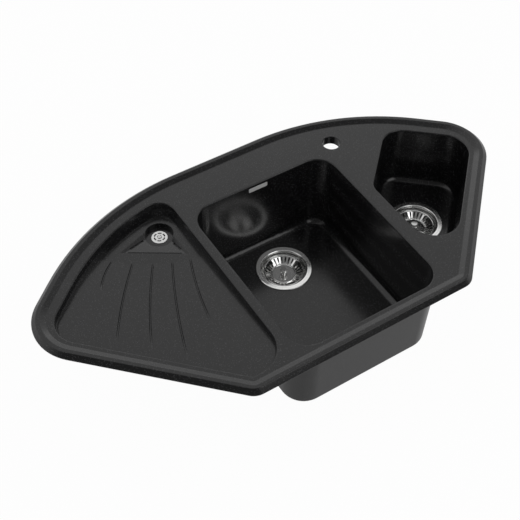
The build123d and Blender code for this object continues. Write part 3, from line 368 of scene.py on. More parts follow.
def composite_finish():
    """Black mineral composite: a satin skin over fine grey specks."""
    dark, light, speck = (0.0035, 0.0035, 0.0037), (0.0065, 0.0065, 0.0068), (0.07, 0.07, 0.073, 1)
    material, tree, shader, where = new_material("black_composite", (0.012, 0.012, 0.0125), 0.0)
    speckle = use_effect(tree, SPECKLE, where, {"Grain Scale": 700.0, "Speck Share": 0.2})
    marks = use_effect(tree, MARKS, where, {"Patch Scale": 7.0})
    ground = mix_colours(tree, speckle.outputs["Tone"], dark, light)
    mixed = add_node(tree, "ShaderNodeMix", {"data_type": "RGBA"})
    mixed.inputs[7].default_value = speck
    tree.links.new(ground, mixed.inputs[6])
    tree.links.new(speckle.outputs["Specks"], mixed.inputs[0])
    tree.links.new(mixed.outputs[2], shader.inputs["Base Color"])
    roughness = spread_value(tree, marks.outputs["Patches"], 0.17, 0.22)
    tree.links.new(roughness, shader.inputs["Roughness"])
    raise_surface(tree, shader, speckle.outputs["Height"], 0.08, 0.00008)
    return material


def steel_finish(name, centre, rough, line_scale, relief, tone=0.66):
    """Stainless steel with fine lines turned round a centre."""
    material, tree, shader, where = new_material(name, (tone, tone, tone * 0.985), 1.0)
    placed = add_node(tree, "ShaderNodeMapping")
    placed.inputs["Location"].default_value = tuple(-size for size in metres(*centre))
    tree.links.new(where, placed.inputs["Vector"])
    turned = use_effect(tree, TURNED, placed.outputs["Vector"], {"Line Scale": line_scale})
    marks = use_effect(tree, MARKS, where, {"Patch Scale": 45.0})
    both = add_node(tree, "ShaderNodeMath", {"operation": "MULTIPLY_ADD"})
    both.inputs[1].default_value = 0.5
    tree.links.new(turned.outputs["Streaks"], both.inputs[0])
    tree.links.new(marks.outputs["Patches"], both.inputs[2])
    roughness = spread_value(tree, both.outputs[0], rough, rough + 0.07)
    tree.links.new(roughness, shader.inputs["Roughness"])
    base = mix_colours(
        tree,
        turned.outputs["Streaks"],
        (tone * 0.93, tone * 0.93, tone * 0.92),
        (tone * 1.05, tone * 1.05, tone * 1.04),
    )
    tree.links.new(base, shader.inputs["Base Color"])
    raise_surface(tree, shader, turned.outputs["Height"], relief, 0.00004)
    return material


def plated_finish():
    """Zinc plating on the clips and their screws."""
    material, tree, shader, where = new_material("zinc_plating", (0.56, 0.57, 0.58), 1.0)
    marks = use_effect(tree, MARKS, where, {"Patch Scale": 260.0})
    speckle = use_effect(tree, SPECKLE, where, {"Grain Scale": 900.0, "Speck Share": 0.35})
    base = mix_colours(tree, marks.outputs["Patches"], (0.5, 0.51, 0.52), (0.62, 0.63, 0.63))
    tree.links.new(base, shader.inputs["Base Color"])
    roughness = spread_value(tree, speckle.outputs["Tone"], 0.25, 0.5)
    tree.links.new(roughness, shader.inputs["Roughness"])
    raise_surface(tree, shader, speckle.outputs["Height"], 0.2, 0.00005)
    return material


def moulded_finish(name, colour, rough, skin_scale, relief, change=0.08):
    """Moulded plastic, rubber or foam with its own skin."""
    material, tree, shader, where = new_material(name, colour, 0.0)
    skin = use_effect(tree, SKIN, where, {"Skin Scale": skin_scale})
    marks = use_effect(tree, MARKS, where, {"Patch Scale": 30.0})
    low = tuple(part * (1 - change) for part in colour)
    high = tuple(part * (1 + change) for part in colour)
    base = mix_colours(tree, skin.outputs["Tone"], low, high)
    tree.links.new(base, shader.inputs["Base Color"])
    roughness = spread_value(tree, marks.outputs["Patches"], rough, rough + 0.1)
    tree.links.new(roughness, shader.inputs["Roughness"])
    raise_surface(tree, shader, skin.outputs["Height"], 0.3, relief)
    return material


COMPOSITE = composite_finish()
ZINC = plated_finish()
RUBBER = moulded_finish("black_rubber", (0.02, 0.02, 0.02), 0.6, 1500.0, 0.00008)
PIPEWORK = moulded_finish("grey_pipework", (0.62, 0.62, 0.6), 0.36, 700.0, 0.00005, 0.03)
CATCH = moulded_finish("pale_catch", (0.7, 0.7, 0.67), 0.4, 900.0, 0.00004, 0.03)
FOAM = moulded_finish("foam_strip", (0.05, 0.05, 0.052), 0.85, 620.0, 0.0006, 0.3)
PLATE = moulded_finish("satin_plate", (0.42, 0.42, 0.42), 0.35, 900.0, 0.00002, 0.03)
CAP_STEEL = steel_finish("cap_steel", TRAY_CAP, 0.16, 5200.0, 0.25)


# ---------------------------------------------------------------------------
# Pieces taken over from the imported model
# ---------------------------------------------------------------------------
# Distances in metres below which points are made one, the angle below which faces are
# taken as one flat face, and the angles in degrees above which an edge stays sharp
DOUBLES = 0.000002
ROUND_JOIN = 0.000004
BARB_JOIN = 0.000001
THREAD_JOIN = 0.000002
NO_LENGTH = 0.0000005
FLAT_ENOUGH = math.radians(0.6)
PLAIN_SHARP = 30.0
BODY_SHARP = 24.0
TURNED_SHARP = 40.0


def smooth(mesh, sharp_angle):
    """Shades a mesh smooth, apart from edges sharper than an angle."""
    if "custom_normal" in mesh.attributes:
        mesh.attributes.remove(mesh.attributes["custom_normal"])
    mesh.shade_smooth()
    mesh.set_sharp_from_angle(angle=math.radians(sharp_angle))


def even_normals(piece):
    """Normals that follow a piece's large faces."""
    weighted = piece.modifiers.new("even_normals", "WEIGHTED_NORMAL")
    weighted.keep_sharp = True
    weighted.weight = 80


def finished_copy(node, body, material, sharp_angle=PLAIN_SHARP, edge=0.0, change=None):
    """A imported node's shape, merged, smoothed and given its finish.

    An edge width in millimetres adds small bevels, and a change reworks the mesh.
    """
    mesh = nodes[node].data.copy()
    mesh.name = node + "_shape"
    mesh.materials.clear()
    mesh.materials.append(material)
    work = bmesh.new()
    work.from_mesh(mesh)
    bmesh.ops.remove_doubles(work, verts=work.verts, dist=DOUBLES)
    if edge:
        bmesh.ops.dissolve_limit(
            work, angle_limit=FLAT_ENOUGH, verts=work.verts, edges=work.edges
        )
    work.to_mesh(mesh)
    work.free()
    if change:
        mesh = change(mesh)
    smooth(mesh, sharp_angle)
    piece = bpy.data.objects.new(node + "_finished", mesh)
    scene.collection.objects.link(piece)
    if edge:
        softened = piece.modifiers.new("soft_edges", "BEVEL")
        softened.width = edge * MM
        softened.segments = 2
        softened.limit_method = "ANGLE"
        softened.angle_limit = math.radians(sharp_angle)
    even_normals(piece)
    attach(piece, body)
    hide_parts(node)


# ---------------------------------------------------------------------------
# Repeated shapes, made by Geometry Nodes
# ---------------------------------------------------------------------------
def new_repeat(name, inputs):
    """An empty geometry tree with named inputs and one shape as its output."""
    tree = bpy.data.node_groups.new(name, "GeometryNodeTree")
    for label, kind in inputs:
        tree.interface.new_socket(name=label, in_out="INPUT", socket_type=kind)
    tree.interface.new_socket(name="Shape", in_out="OUTPUT", socket_type="NodeSocketGeometry")
    return tree, add_node(tree, "NodeGroupInput"), add_node(tree, "NodeGroupOutput")


def finish_repeat(tree, given, result, instances):
    """Joins the copies, moves them to their centre and gives them their finish."""
    real = add_node(tree, "GeometryNodeRealizeInstances")
    joined = add_node(tree, "GeometryNodeMergeByDistance")
    placed = add_node(tree, "GeometryNodeTransform")
    finish = add_node(tree, "GeometryNodeSetMaterial")
    link = tree.links.new
    link(instances, real.inputs["Geometry"])
    link(real.outputs["Geometry"], joined.inputs["Geometry"])
    link(given.outputs["Join Distance"], joined.inputs["Distance"])
    link(joined.outputs["Geometry"], placed.inputs["Geometry"])
    link(given.outputs["Centre"], placed.inputs["Translation"])
    link(placed.outputs["Geometry"], finish.inputs["Geometry"])
    link(given.outputs["Finish"], finish.inputs["Material"])
    link(finish.outputs["Geometry"], result.inputs["Shape"])


REPEAT_INPUTS = [
    ("Piece", "NodeSocketGeometry"),
    ("Copies", "NodeSocketInt"),
    ("Centre", "NodeSocketVector"),
    ("Join Distance", "NodeSocketFloat"),
    ("Finish", "NodeSocketMaterial"),
]


def copies_round():
    """Copies of a piece turned evenly round the Z axis."""
    tree, given, result = new_repeat("copies_round", REPEAT_INPUTS)
    points = add_node(tree, "GeometryNodePoints")
    spread = add_node(tree, "GeometryNodeInstanceOnPoints")
    order = add_node(tree, "GeometryNodeInputIndex")
    step = add_node(tree, "ShaderNodeMath", {"operation": "DIVIDE"})
    step.inputs[0].default_value = 2 * math.pi
    turn = add_node(tree, "ShaderNodeMath", {"operation": "MULTIPLY"})
    angles = add_node(tree, "ShaderNodeCombineXYZ")
    rotation = add_node(tree, "FunctionNodeEulerToRotation")
    link = tree.links.new
    link(given.outputs["Copies"], points.inputs["Count"])
    link(points.outputs[0], spread.inputs["Points"])
    link(given.outputs["Piece"], spread.inputs["Instance"])
    link(given.outputs["Copies"], step.inputs[1])
    link(order.outputs[0], turn.inputs[0])
    link(step.outputs[0], turn.inputs[1])
    link(turn.outputs[0], angles.inputs["Z"])
    link(angles.outputs[0], rotation.inputs[0])
    link(rotation.outputs[0], spread.inputs["Rotation"])
    finish_repeat(tree, given, result, spread.outputs["Instances"])
    return tree


def copies_along():
    """Copies of a piece set evenly along a line."""
    tree, given, result = new_repeat("copies_along", REPEAT_INPUTS + [("Step", "NodeSocketVector")])
    line = add_node(tree, "GeometryNodeMeshLine", {"mode": "OFFSET"})
    spread = add_node(tree, "GeometryNodeInstanceOnPoints")
    link = tree.links.new
    link(given.outputs["Copies"], line.inputs["Count"])
    link(given.outputs["Step"], line.inputs["Offset"])
    link(line.outputs["Mesh"], spread.inputs["Points"])
    link(given.outputs["Piece"], spread.inputs["Instance"])
    finish_repeat(tree, given, result, spread.outputs["Instances"])
    return tree


ROUND = copies_round()
ALONG = copies_along()


def repeated(name, shape, tree, values):
    """Runs a tree on a shape and keeps the result as a plain mesh."""
    start = bpy.data.objects.new(name + "_start", shape)
    scene.collection.objects.link(start)
    maker = start.modifiers.new("maker", "NODES")
    maker.node_group = tree
    for socket in tree.interface.items_tree:
        if socket.item_type == "SOCKET" and socket.in_out == "INPUT" and socket.name in values:
            maker[socket.identifier] = values[socket.name]
    start.data.update()
    depsgraph = bpy.context.evaluated_depsgraph_get()
    made = bpy.data.meshes.new_from_object(start.evaluated_get(depsgraph), depsgraph=depsgraph)
    made.name = name + "_shape"
    bpy.data.objects.remove(start)
    return made


NEARLY_STRAIGHT = 0.01
LARGEST_CUT = 0.48
SLOT_END_ROWS = (0.0, 0.04, 0.15, 0.35, 0.65, 1.0)
TINY = 1e-6
NO_SPAN = 1e-9
ROW_MARGIN = 1e-4
WIDEST_SINE = 0.99


def rounded_run(corners, steps=4):
    """Points along a run of straight pieces, each corner rounded by its radius."""
    points = [Vector(corner[:2]) for corner in corners]
    radii = [corner[2] if len(corner) > 2 else 0.0 for corner in corners]
    run = [points[0]]
    for before, here, after, radius in zip(points, points[1:], points[2:], radii[1:]):
        way_in = (here - before).normalized()
        way_out = (after - here).normalized()
        turn = way_in.angle(way_out, 0.0)
        if radius <= 0 or turn < NEARLY_STRAIGHT:
            run.append(here)
            continue
        shorter = min((here - before).length, (after - here).length)
        cut = min(radius * math.tan(turn / 2), LARGEST_CUT * shorter)
        start = here - way_in * cut
        end = here + way_out * cut
        for number in range(steps + 1):
            part = number / steps
            run.append(
                start * (1 - part) ** 2 + here * (2 * part * (1 - part)) + end * part**2
            )
    run.append(points[-1])
    return run


def slot_half_width(slot, radius):
    """Half the slot's width at a radius, with rounded corners, or None outside it."""
    inner, outer, corner = slot["inner"], slot["outer"], slot["corner"]
    if not inner - TINY <= radius <= outer + TINY:
        return None
    side = slot["half_width"](radius)
    near = min(radius - inner, outer - radius)
    if near < corner:
        side -= corner - math.sqrt(max(corner**2 - (corner - near) ** 2, 0.0))
    return side


def rows_with_slot(run, slot):
    """The run with rows added where a slot's ends curve."""
    corner = slot["corner"]
    marks = []
    for part in SLOT_END_ROWS:
        marks.append(slot["inner"] + corner * part)
        marks.append(slot["outer"] - corner * part)
    rows = [run[0]]
    for before, after in zip(run, run[1:]):
        span = after.x - before.x
        inside = []
        for mark in marks:
            if abs(span) > NO_SPAN:
                part = (mark - before.x) / span
                if ROW_MARGIN < part < 1 - ROW_MARGIN:
                    inside.append(part)
        rows += [before.lerp(after, part) for part in sorted(inside)]
        rows.append(after)
    return rows


def sector_shape(name, run, copies, slot=None, side_steps=2, mid_steps=2):
    """One copy's share of a turned sheet, with a slot through its middle if asked."""
    half = math.pi / copies
    rows = rows_with_slot(run, slot) if slot else run
    widths = [slot_half_width(slot, row.x) if slot else None for row in rows]
    inside = [number for number, width in enumerate(widths) if width is not None]
    work = bmesh.new()
    grid = []
    for number, row in enumerate(rows):
        if row.x < TINY:
            grid.append([work.verts.new((0, 0, row.y * MM))])
            continue
        if slot:
            nearest = min(inside, key=lambda other: abs(other - number))
            width = widths[nearest]
            edge = math.asin(min(width / rows[nearest].x, WIDEST_SINE))
        else:
            edge = half / 2
        angles = [-half + (half - edge) * part / side_steps for part in range(side_steps)]
        angles += [-edge + 2 * edge * part / mid_steps for part in range(mid_steps)]
        angles += [edge + (half - edge) * part / side_steps for part in range(side_steps + 1)]
        grid.append([
            work.verts.new((
                row.x * math.cos(angle) * MM,
                row.x * math.sin(angle) * MM,
                row.y * MM,
            ))
            for angle in angles
        ])
    columns = 2 * side_steps + mid_steps
    for number in range(len(rows) - 1):
        above, below = grid[number], grid[number + 1]
        for column in range(columns):
            in_middle = side_steps <= column < side_steps + mid_steps
            if in_middle and widths[number] is not None and widths[number + 1] is not None:
                continue
            corners = [
                above[min(column, len(above) - 1)],
                above[min(column + 1, len(above) - 1)],
                below[min(column + 1, len(below) - 1)],
                below[min(column, len(below) - 1)],
            ]
            corners = list(dict.fromkeys(corners))
            if len(corners) > 2:
                work.faces.new(corners)
    loose = [corner for corner in work.verts if not corner.link_faces]
    bmesh.ops.delete(work, geom=loose, context="VERTS")
    shape = bpy.data.meshes.new(name + "_sector")
    work.to_mesh(shape)
    work.free()
    return shape


def keep_piece(name, mesh, body, replaced=(), sharp_angle=PLAIN_SHARP):
    """A finished mesh as a piece that rides on a body."""
    smooth(mesh, sharp_angle)
    piece = bpy.data.objects.new(name, mesh)
    scene.collection.objects.link(piece)
    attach(piece, body)
    if replaced:
        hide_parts(*replaced)
    return piece


def clean_mesh(mesh, outward=True):
    """Merges a mesh's doubles, closes four-sided holes and turns its faces out."""
    work = bmesh.new()
    work.from_mesh(mesh)
    bmesh.ops.remove_doubles(work, verts=work.verts, dist=DOUBLES)
    bmesh.ops.dissolve_degenerate(work, edges=work.edges, dist=NO_LENGTH)
    bmesh.ops.holes_fill(work, edges=work.edges, sides=4)
    if outward:
        bmesh.ops.recalc_face_normals(work, faces=work.faces)
    work.to_mesh(mesh)
    work.free()
    return mesh


def turned_mesh(name, centre, corners, copies, material, hole=None, **steps):
    """A run spun round an upright axis, from copies of one sector."""
    shape = sector_shape(name, rounded_run(corners), copies, hole, **steps)
    mesh = repeated(name, shape, ROUND, {
        "Copies": copies,
        "Centre": metres(*centre),
        "Join Distance": ROUND_JOIN,
        "Finish": material,
    })
    return clean_mesh(mesh)


SHEET_EDGE_SHARE = 0.16
SHEET_EDGE_ANGLE = math.radians(50)


def turned_sheet(
    name, centre, corners, thickness, copies, material, body, slot, replaced, hole, **steps
):
    """A sheet spun round an upright axis, given its thickness and soft edges."""
    mesh = turned_mesh(name, centre, corners, copies, material, hole, **steps)
    piece = keep_piece(name, mesh, body, replaced, TURNED_SHARP)
    wall = piece.modifiers.new("sheet_thickness", "SOLIDIFY")
    wall.thickness = thickness * MM
    wall.offset = 0.0
    wall.use_even_offset = True
    softened = piece.modifiers.new("soft_edges", "BEVEL")
    softened.width = SHEET_EDGE_SHARE * thickness * MM
    softened.segments = 2
    softened.limit_method = "ANGLE"
    softened.angle_limit = SHEET_EDGE_ANGLE
    even_normals(piece)


def turned_solid(name, centre, corners, copies, material, body, replaced):
    """A closed solid turned round an upright axis."""
    mesh = turned_mesh(name, centre, corners, copies, material, side_steps=1, mid_steps=1)
    even_normals(keep_piece(name, mesh, body, replaced, TURNED_SHARP))


# ---------------------------------------------------------------------------
# The sink's moulding and the foam under its rim
# ---------------------------------------------------------------------------
GROOVE_RADIUS = 1.9

# The tray's flutes fan out from a point behind the drain: their directions and lengths,
# and the sloping plane of the tray's floor that they are cut into
FAN_CENTRE = Vector((-297.0, 185.0))
FAN_RADIUS = 297.0
FLUTES = ((227.0, 70.0), (234.2, 190.0), (241.3, 200.0), (247.9, 230.0), (254.3, 160.0))
FLUTE_STEPS = 32
FLUTE_DEPTH = 2.2
FLUTE_LEAD = 4.0
FLUTE_BOW = -5.0
FLUTE_RUN_OUT = 0.25
FLUTED_LEVEL = -25.3309
FLUTED_FALL = (-0.017938, -0.0323609)

# The drain pit's three corners, its falling floor, and the shares of its walls' feet
# that a groove follows
PIT_RIGHT = Vector((-371.5, -85.7))
PIT_LEFT = Vector((-477.6, -18.1))
PIT_APEX = Vector((-378.0, 15.7))
PIT_FEET = (
    (PIT_RIGHT, PIT_LEFT, 0.11, 0.89),
    (PIT_RIGHT, PIT_APEX, 0.2, 0.42),
    (PIT_LEFT, PIT_APEX, 0.2, 0.5),
)
PIT_STEPS = 16
PIT_LEVEL = -22.0
PIT_FALL = 6.0
PIT_FALL_DIRECTION = 57.5
PIT_FOOT_INSET = 3.6
PIT_WALL_LEAN = 0.9
PIT_GROOVE_DEPTH = 1.6


def facing(angle):
    """The level direction at an angle in degrees."""
    return Vector((math.cos(math.radians(angle)), math.sin(math.radians(angle))))


def flute_runs():
    """The middle lines of the tray's flutes, each rising out of the floor at its end."""
    runs = []
    for angle, length in FLUTES:
        way = facing(angle)
        across = Vector((-way.y, way.x))
        start = FAN_CENTRE + way * (FAN_RADIUS - FLUTE_LEAD)
        end = FAN_CENTRE + way * (FAN_RADIUS + length)
        run = []
        for number in range(FLUTE_STEPS + 1):
            part = number / FLUTE_STEPS
            spot = start.lerp(end, part) + across * (FLUTE_BOW * 4 * part * (1 - part))
            floor_level = FLUTED_LEVEL + FLUTED_FALL[0] * spot.x + FLUTED_FALL[1] * spot.y
            run_out = min((1 - part) / FLUTE_RUN_OUT, 1.0)
            rise = GROOVE_RADIUS - FLUTE_DEPTH * run_out
            run.append(metres(spot.x, spot.y, floor_level + rise))
        runs.append(run)
    return runs


def pit_runs():
    """The middle lines of the grooves along the feet of the drain pit's walls."""
    fall = facing(PIT_FALL_DIRECTION)
    inside = (PIT_RIGHT + PIT_LEFT + PIT_APEX) / 3
    rise = GROOVE_RADIUS - PIT_GROOVE_DEPTH
    runs = []
    for start, end, first, last in PIT_FEET:
        way = (end - start).normalized()
        inward = Vector((-way.y, way.x))
        if inward.dot(inside - start) < 0:
            inward = -inward
        run = []
        for number in range(PIT_STEPS + 1):
            spot = start.lerp(end, first + (last - first) * number / PIT_STEPS)
            drop = (spot - PIT_RIGHT).dot(fall) * math.tan(math.radians(PIT_FALL))
            spot = spot + inward * (PIT_FOOT_INSET + PIT_WALL_LEAN * drop)
            run.append(metres(spot.x, spot.y, PIT_LEVEL - drop + rise))
        runs.append(run)
    return runs


def groove_lines():
    """One object that holds every groove's middle line."""
    places = []
    links = []
    for run in flute_runs() + pit_runs():
        first = len(places)
        places += run
        links += [(number, number + 1) for number in range(first, len(places) - 1)]
    mesh = bpy.data.meshes.new("groove_lines")
    mesh.from_pydata(places, links, [])
    lines = bpy.data.objects.new("groove_lines", mesh)
    scene.collection.objects.link(lines)
    return lines


def cut_along():
    """Cuts round-bottomed grooves out of a piece, along some lines."""
    tree, given, result = new_repeat("cut_along", [
        ("Piece", "NodeSocketGeometry"),
        ("Lines", "NodeSocketObject"),
        ("Groove Radius", "NodeSocketFloat"),
        ("Finish", "NodeSocketMaterial"),
    ])
    source = add_node(tree, "GeometryNodeObjectInfo")
    runs = add_node(tree, "GeometryNodeMeshToCurve")
    ring = add_node(tree, "GeometryNodeCurvePrimitiveCircle", values={"Resolution": 16})
    tubes = add_node(tree, "GeometryNodeCurveToMesh", values={"Fill Caps": True})
    cut = add_node(tree, "GeometryNodeMeshBoolean", {"operation": "DIFFERENCE", "solver": "EXACT"})
    real = add_node(tree, "GeometryNodeRealizeInstances")
    finish = add_node(tree, "GeometryNodeSetMaterial")
    link = tree.links.new
    link(given.outputs["Lines"], source.inputs["Object"])
    link(source.outputs["Geometry"], runs.inputs["Mesh"])
    link(given.outputs["Groove Radius"], ring.inputs["Radius"])
    link(runs.outputs["Curve"], tubes.inputs["Curve"])
    link(ring.outputs["Curve"], tubes.inputs["Profile Curve"])
    link(given.outputs["Piece"], cut.inputs["Mesh 1"])
    link(tubes.outputs["Mesh"], cut.inputs["Mesh 2"])
    link(cut.outputs["Mesh"], real.inputs["Geometry"])
    link(real.outputs["Geometry"], finish.inputs["Geometry"])
    link(given.outputs["Finish"], finish.inputs["Material"])
    link(finish.outputs["Geometry"], result.inputs["Shape"])
    return tree


def grooved(mesh):
    """The moulding with its grooves cut to their full depth."""
    lines = groove_lines()
    made = repeated("grooved_moulding", mesh, cut_along(), {
        "Lines": lines,
        "Groove Radius": GROOVE_RADIUS * MM,
        "Finish": COMPOSITE,
    })
    bpy.data.objects.remove(lines)
    return clean_mesh(made, outward=False)


finished_copy("sink_body", "sink", COMPOSITE, BODY_SHARP, change=grooved)
finished_copy("rim_sealing_strip", "sink", FOAM)


PLATE_CENTRE = (-182.1, -19.0, -6.6)
PLATE_LENGTH = 41.0
PLATE_HEIGHT = 9.4
PLATE_CORNER = 1.6
PLATE_CORNER_CUT = 1.4
PLATE_CORNER_STEPS = 4
# The plate's edge, ring by ring: how far in from the outline, and how far off the wall
PLATE_EDGE = ((0.0, -0.25), (0.0, 0.2), (0.12, 0.32), (0.35, 0.38), (1.4, 0.38), (1.7, 0.3))
WALL_LEAN = 2.0


def blank_plate():
    """A blank plate with rounded corners on the main bowl's back wall."""
    lean = math.radians(WALL_LEAN)
    along = Vector((1, 0, 0))
    upward = Vector((0, math.sin(lean), math.cos(lean)))
    outward = Vector((0, -math.cos(lean), math.sin(lean)))
    work = bmesh.new()
    rings = []
    for inset, proud in PLATE_EDGE:
        ring = []
        corner = PLATE_CORNER - min(inset, PLATE_CORNER_CUT)
        for quarter in range(4):
            for step in range(PLATE_CORNER_STEPS + 1):
                angle = math.pi / 2 * (quarter + step / PLATE_CORNER_STEPS)
                side = 1 if quarter in (0, 3) else -1
                rise = 1 if quarter in (0, 1) else -1
                across = side * (PLATE_LENGTH / 2 - inset - corner) + corner * math.cos(angle)
                height = rise * (PLATE_HEIGHT / 2 - inset - corner) + corner * math.sin(angle)
                place = Vector(PLATE_CENTRE) + along * across + upward * height + outward * proud
                ring.append(work.verts.new(place * MM))
        rings.append(ring)
    for inner, outer in zip(rings, rings[1:]):
        for number in range(len(inner)):
            after = (number + 1) % len(inner)
            work.faces.new((inner[number], inner[after], outer[after], outer[number]))
    work.faces.new(rings[-1])
    work.faces.new(rings[0][::-1])
    bmesh.ops.recalc_face_normals(work, faces=work.faces)
    mesh = bpy.data.meshes.new("blank_plate_shape")
    work.to_mesh(mesh)
    work.free()
    mesh.materials.append(PLATE)
    even_normals(keep_piece("blank_plate", mesh, "sink"))


blank_plate()


# ---------------------------------------------------------------------------
# Basket wastes
# ---------------------------------------------------------------------------
# Each run gives radius and height from the flange's centre, and a corner's rounding
FLANGE_RUN = [
    (55.5, -1.7),
    (55.5, -0.9, 0.5),
    (54.4, -0.5, 0.9),
    (46.2, -0.5, 1.2),
    (44.9, -1.6, 1.2),
    (44.5, -8.5, 3.0),
    (40.6, -13.0, 3.0),
    (40.0, -26.0, 6.0),
    (27.0, -34.5, 5.0),
    (6.4, -34.5),
]
CUP_SLOT = {
    "inner": 14.5,
    "outer": 19.5,
    "corner": 2.4,
    "half_width": lambda radius: 6.0,
}
BASKET_RUN = [
    (39.0, -9.4),
    (38.9, -8.0, 0.5),
    (38.0, -8.2, 0.5),
    (37.2, -9.2, 0.8),
    (25.2, -18.2, 1.2),
    (23.6, -16.8, 0.7),
    (22.8, -16.8, 0.7),
    (22.0, -17.5, 0.6),
    (6.0, -17.6, 3.0),
    (2.6, -18.4),
]
BASKET_SLOT = {
    "inner": 25.8,
    "outer": 36.6,
    "corner": 0.6,
    "half_width": lambda radius: radius * math.sin(math.radians(2.9)),
}
KNOB_RUN = [
    (0.0, -18.5),
    (4.6, -18.5, 0.4),
    (3.8, -13.0, 6.0),
    (4.4, -10.4, 4.0),
    (6.5, -8.6, 2.0),
    (7.25, -7.6, 0.8),
    (7.25, -4.9, 0.9),
    (6.2, -3.8, 1.0),
    (0.0, -3.8),
]
FLANGE_SHEET = 1.0
FLANGE_SLOTS = 6
BASKET_SHEET = 0.9
BASKET_SLOTS = 28
TURNED_COPIES = 48
THREAD_PITCH = 2.309
THREAD_TURNS = 10
THREAD_STATIONS = 72
THREAD_RIDGE = ((22.4, -1.1), (23.88, -0.16), (23.88, 0.16), (22.4, 1.1))
BARB_LENGTH = 3.4
BARB_RISE = 0.55
BARB_ROOT = 0.6


def thread_turn():
    """One turn of a pipe thread, a closed ridge that climbs one pitch."""
    work = bmesh.new()
    rings = []
    for number in range(THREAD_STATIONS + 1):
        angle = 2 * math.pi * number / THREAD_STATIONS
        climb = THREAD_PITCH * number / THREAD_STATIONS
        ring = []
        for radius, height in THREAD_RIDGE:
            ring.append(work.verts.new(metres(
                radius * math.cos(angle), radius * math.sin(angle), climb + height
            )))
        rings.append(ring)
    for before, after in zip(rings, rings[1:]):
        for number in range(len(THREAD_RIDGE)):
            following = (number + 1) % len(THREAD_RIDGE)
            work.faces.new((before[number], after[number], after[following], before[following]))
    shape = bpy.data.meshes.new("thread_turn")
    work.to_mesh(shape)
    work.free()
    return shape


def barb_shape(name, radius):
    """One copy's share of a hose barb, a ring that rises to a sharp step."""
    root = radius - BARB_ROOT
    top = radius + BARB_RISE
    run = [
        (root, 0.0),
        (radius, 0.0, 0.1),
        (top, BARB_LENGTH * 0.75, 0.15),
        (top, BARB_LENGTH * 0.85, 0.1),
        (root, BARB_LENGTH),
        (root, 0.0),
    ]
    return sector_shape(name, rounded_run(run, 2), TURNED_COPIES, side_steps=1, mid_steps=1)


def hose_barbs(name, foot, way, radius, count, spacing, body):
    """Barbs round a spigot, from its shoulder outwards."""
    ring = repeated(name + "_ring", barb_shape(name, radius), ROUND, {
        "Copies": TURNED_COPIES,
        "Centre": (0.0, 0.0, 0.0),
        "Join Distance": ROUND_JOIN,
        "Finish": PIPEWORK,
    })
    turn = Vector((0, 0, -1)).rotation_difference(Vector(way)).to_matrix().to_4x4()
    half_turn = Matrix.Rotation(math.pi, 4, "X")
    ring.transform(turn @ half_turn)
    ring.update()
    mesh = repeated(name, ring, ALONG, {
        "Copies": count,
        "Step": tuple(part * spacing * MM for part in way),
        "Centre": metres(*foot),
        "Join Distance": BARB_JOIN,
        "Finish": PIPEWORK,
    })
    clean_mesh(mesh)
    even_normals(keep_piece(name, mesh, body))


for bowl, centre in (("main", MAIN_WASTE), ("small", SMALL_WASTE)):
    flange_steel = steel_finish(f"{bowl}_flange_steel", centre, 0.1, 2600.0, 0.04, 0.82)
    basket_steel = steel_finish(f"{bowl}_basket_steel", centre, 0.03, 2600.0, 0.03, 0.84)
    # The knob's steel is a darker copy of the basket's steel: painted shade for the dark bowl that
    # its polished sides reflect.
    knob_shaded_steel = steel_finish(f"{bowl}_knob_shaded_steel", centre, 0.04, 5200.0, 0.03, 0.62)
    unit = f"{bowl}_basket_unit"
    turned_sheet(
        f"{bowl}_flange", centre, FLANGE_RUN, FLANGE_SHEET, FLANGE_SLOTS, flange_steel,
        "sink", "steel", [f"{bowl}_waste_flange"], CUP_SLOT, side_steps=6, mid_steps=8,
    )
    turned_sheet(
        f"{bowl}_strainer", centre, BASKET_RUN, BASKET_SHEET, BASKET_SLOTS, basket_steel,
        unit, "steel", [f"{bowl}_basket"], BASKET_SLOT, side_steps=2, mid_steps=2,
    )
    turned_solid(
        f"{bowl}_pull_knob", centre, KNOB_RUN, TURNED_COPIES, knob_shaded_steel,
        unit, [f"{bowl}_knob"],
    )
    finished_copy(f"{bowl}_waste_seal", "sink", RUBBER)
    finished_copy(f"{bowl}_waste_gasket", "sink", RUBBER)
    finished_copy(f"{bowl}_waste_body", "sink", PIPEWORK, edge=0.5)
    finished_copy(f"{bowl}_waste_bolt", "sink", flange_steel, edge=0.3)
    finished_copy(f"{bowl}_basket_post", unit, basket_steel, edge=0.3)
    finished_copy(f"{bowl}_basket_stopper", unit, RUBBER, edge=0.4)
    finished_copy(f"{bowl}_basket_catch", unit, CATCH, edge=0.2)
    thread = repeated(f"{bowl}_outlet_thread", thread_turn(), ALONG, {
        "Copies": THREAD_TURNS,
        "Step": metres(0, 0, THREAD_PITCH),
        "Centre": metres(centre[0], centre[1], centre[2] - OUTLET_DROP),
        "Join Distance": THREAD_JOIN,
        "Finish": PIPEWORK,
    })
    clean_mesh(thread)
    even_normals(keep_piece(f"{bowl}_outlet_thread", thread, "sink"))


# ---------------------------------------------------------------------------
# Tray drain and clips
# ---------------------------------------------------------------------------
CLIPS = 6
CAP_SHEET = 0.7
CAP_SLOTS = 6
CAP_RUN = [
    (15.3, 0.1),
    (15.3, 0.55, 0.3),
    (14.6, 0.75, 0.6),
    (6.0, 0.8, 2.0),
    (2.6, 0.8),
]
CAP_SLOT = {
    "inner": 8.3,
    "outer": 10.9,
    "corner": 1.2,
    "half_width": lambda radius: 3.8,
}
turned_sheet(
    "tray_cap", TRAY_CAP, CAP_RUN, CAP_SHEET, CAP_SLOTS, CAP_STEEL,
    "sink", "steel", ["drainer_cap"], CAP_SLOT, side_steps=5, mid_steps=6,
)
finished_copy("drainer_screw", "sink", CAP_STEEL, edge=0.2)
finished_copy("drainer_seal", "sink", RUBBER)
finished_copy("drainer_outlet", "sink", PIPEWORK, edge=0.5)
finished_copy("fixing_clip_screws", "sink", ZINC, edge=0.3)
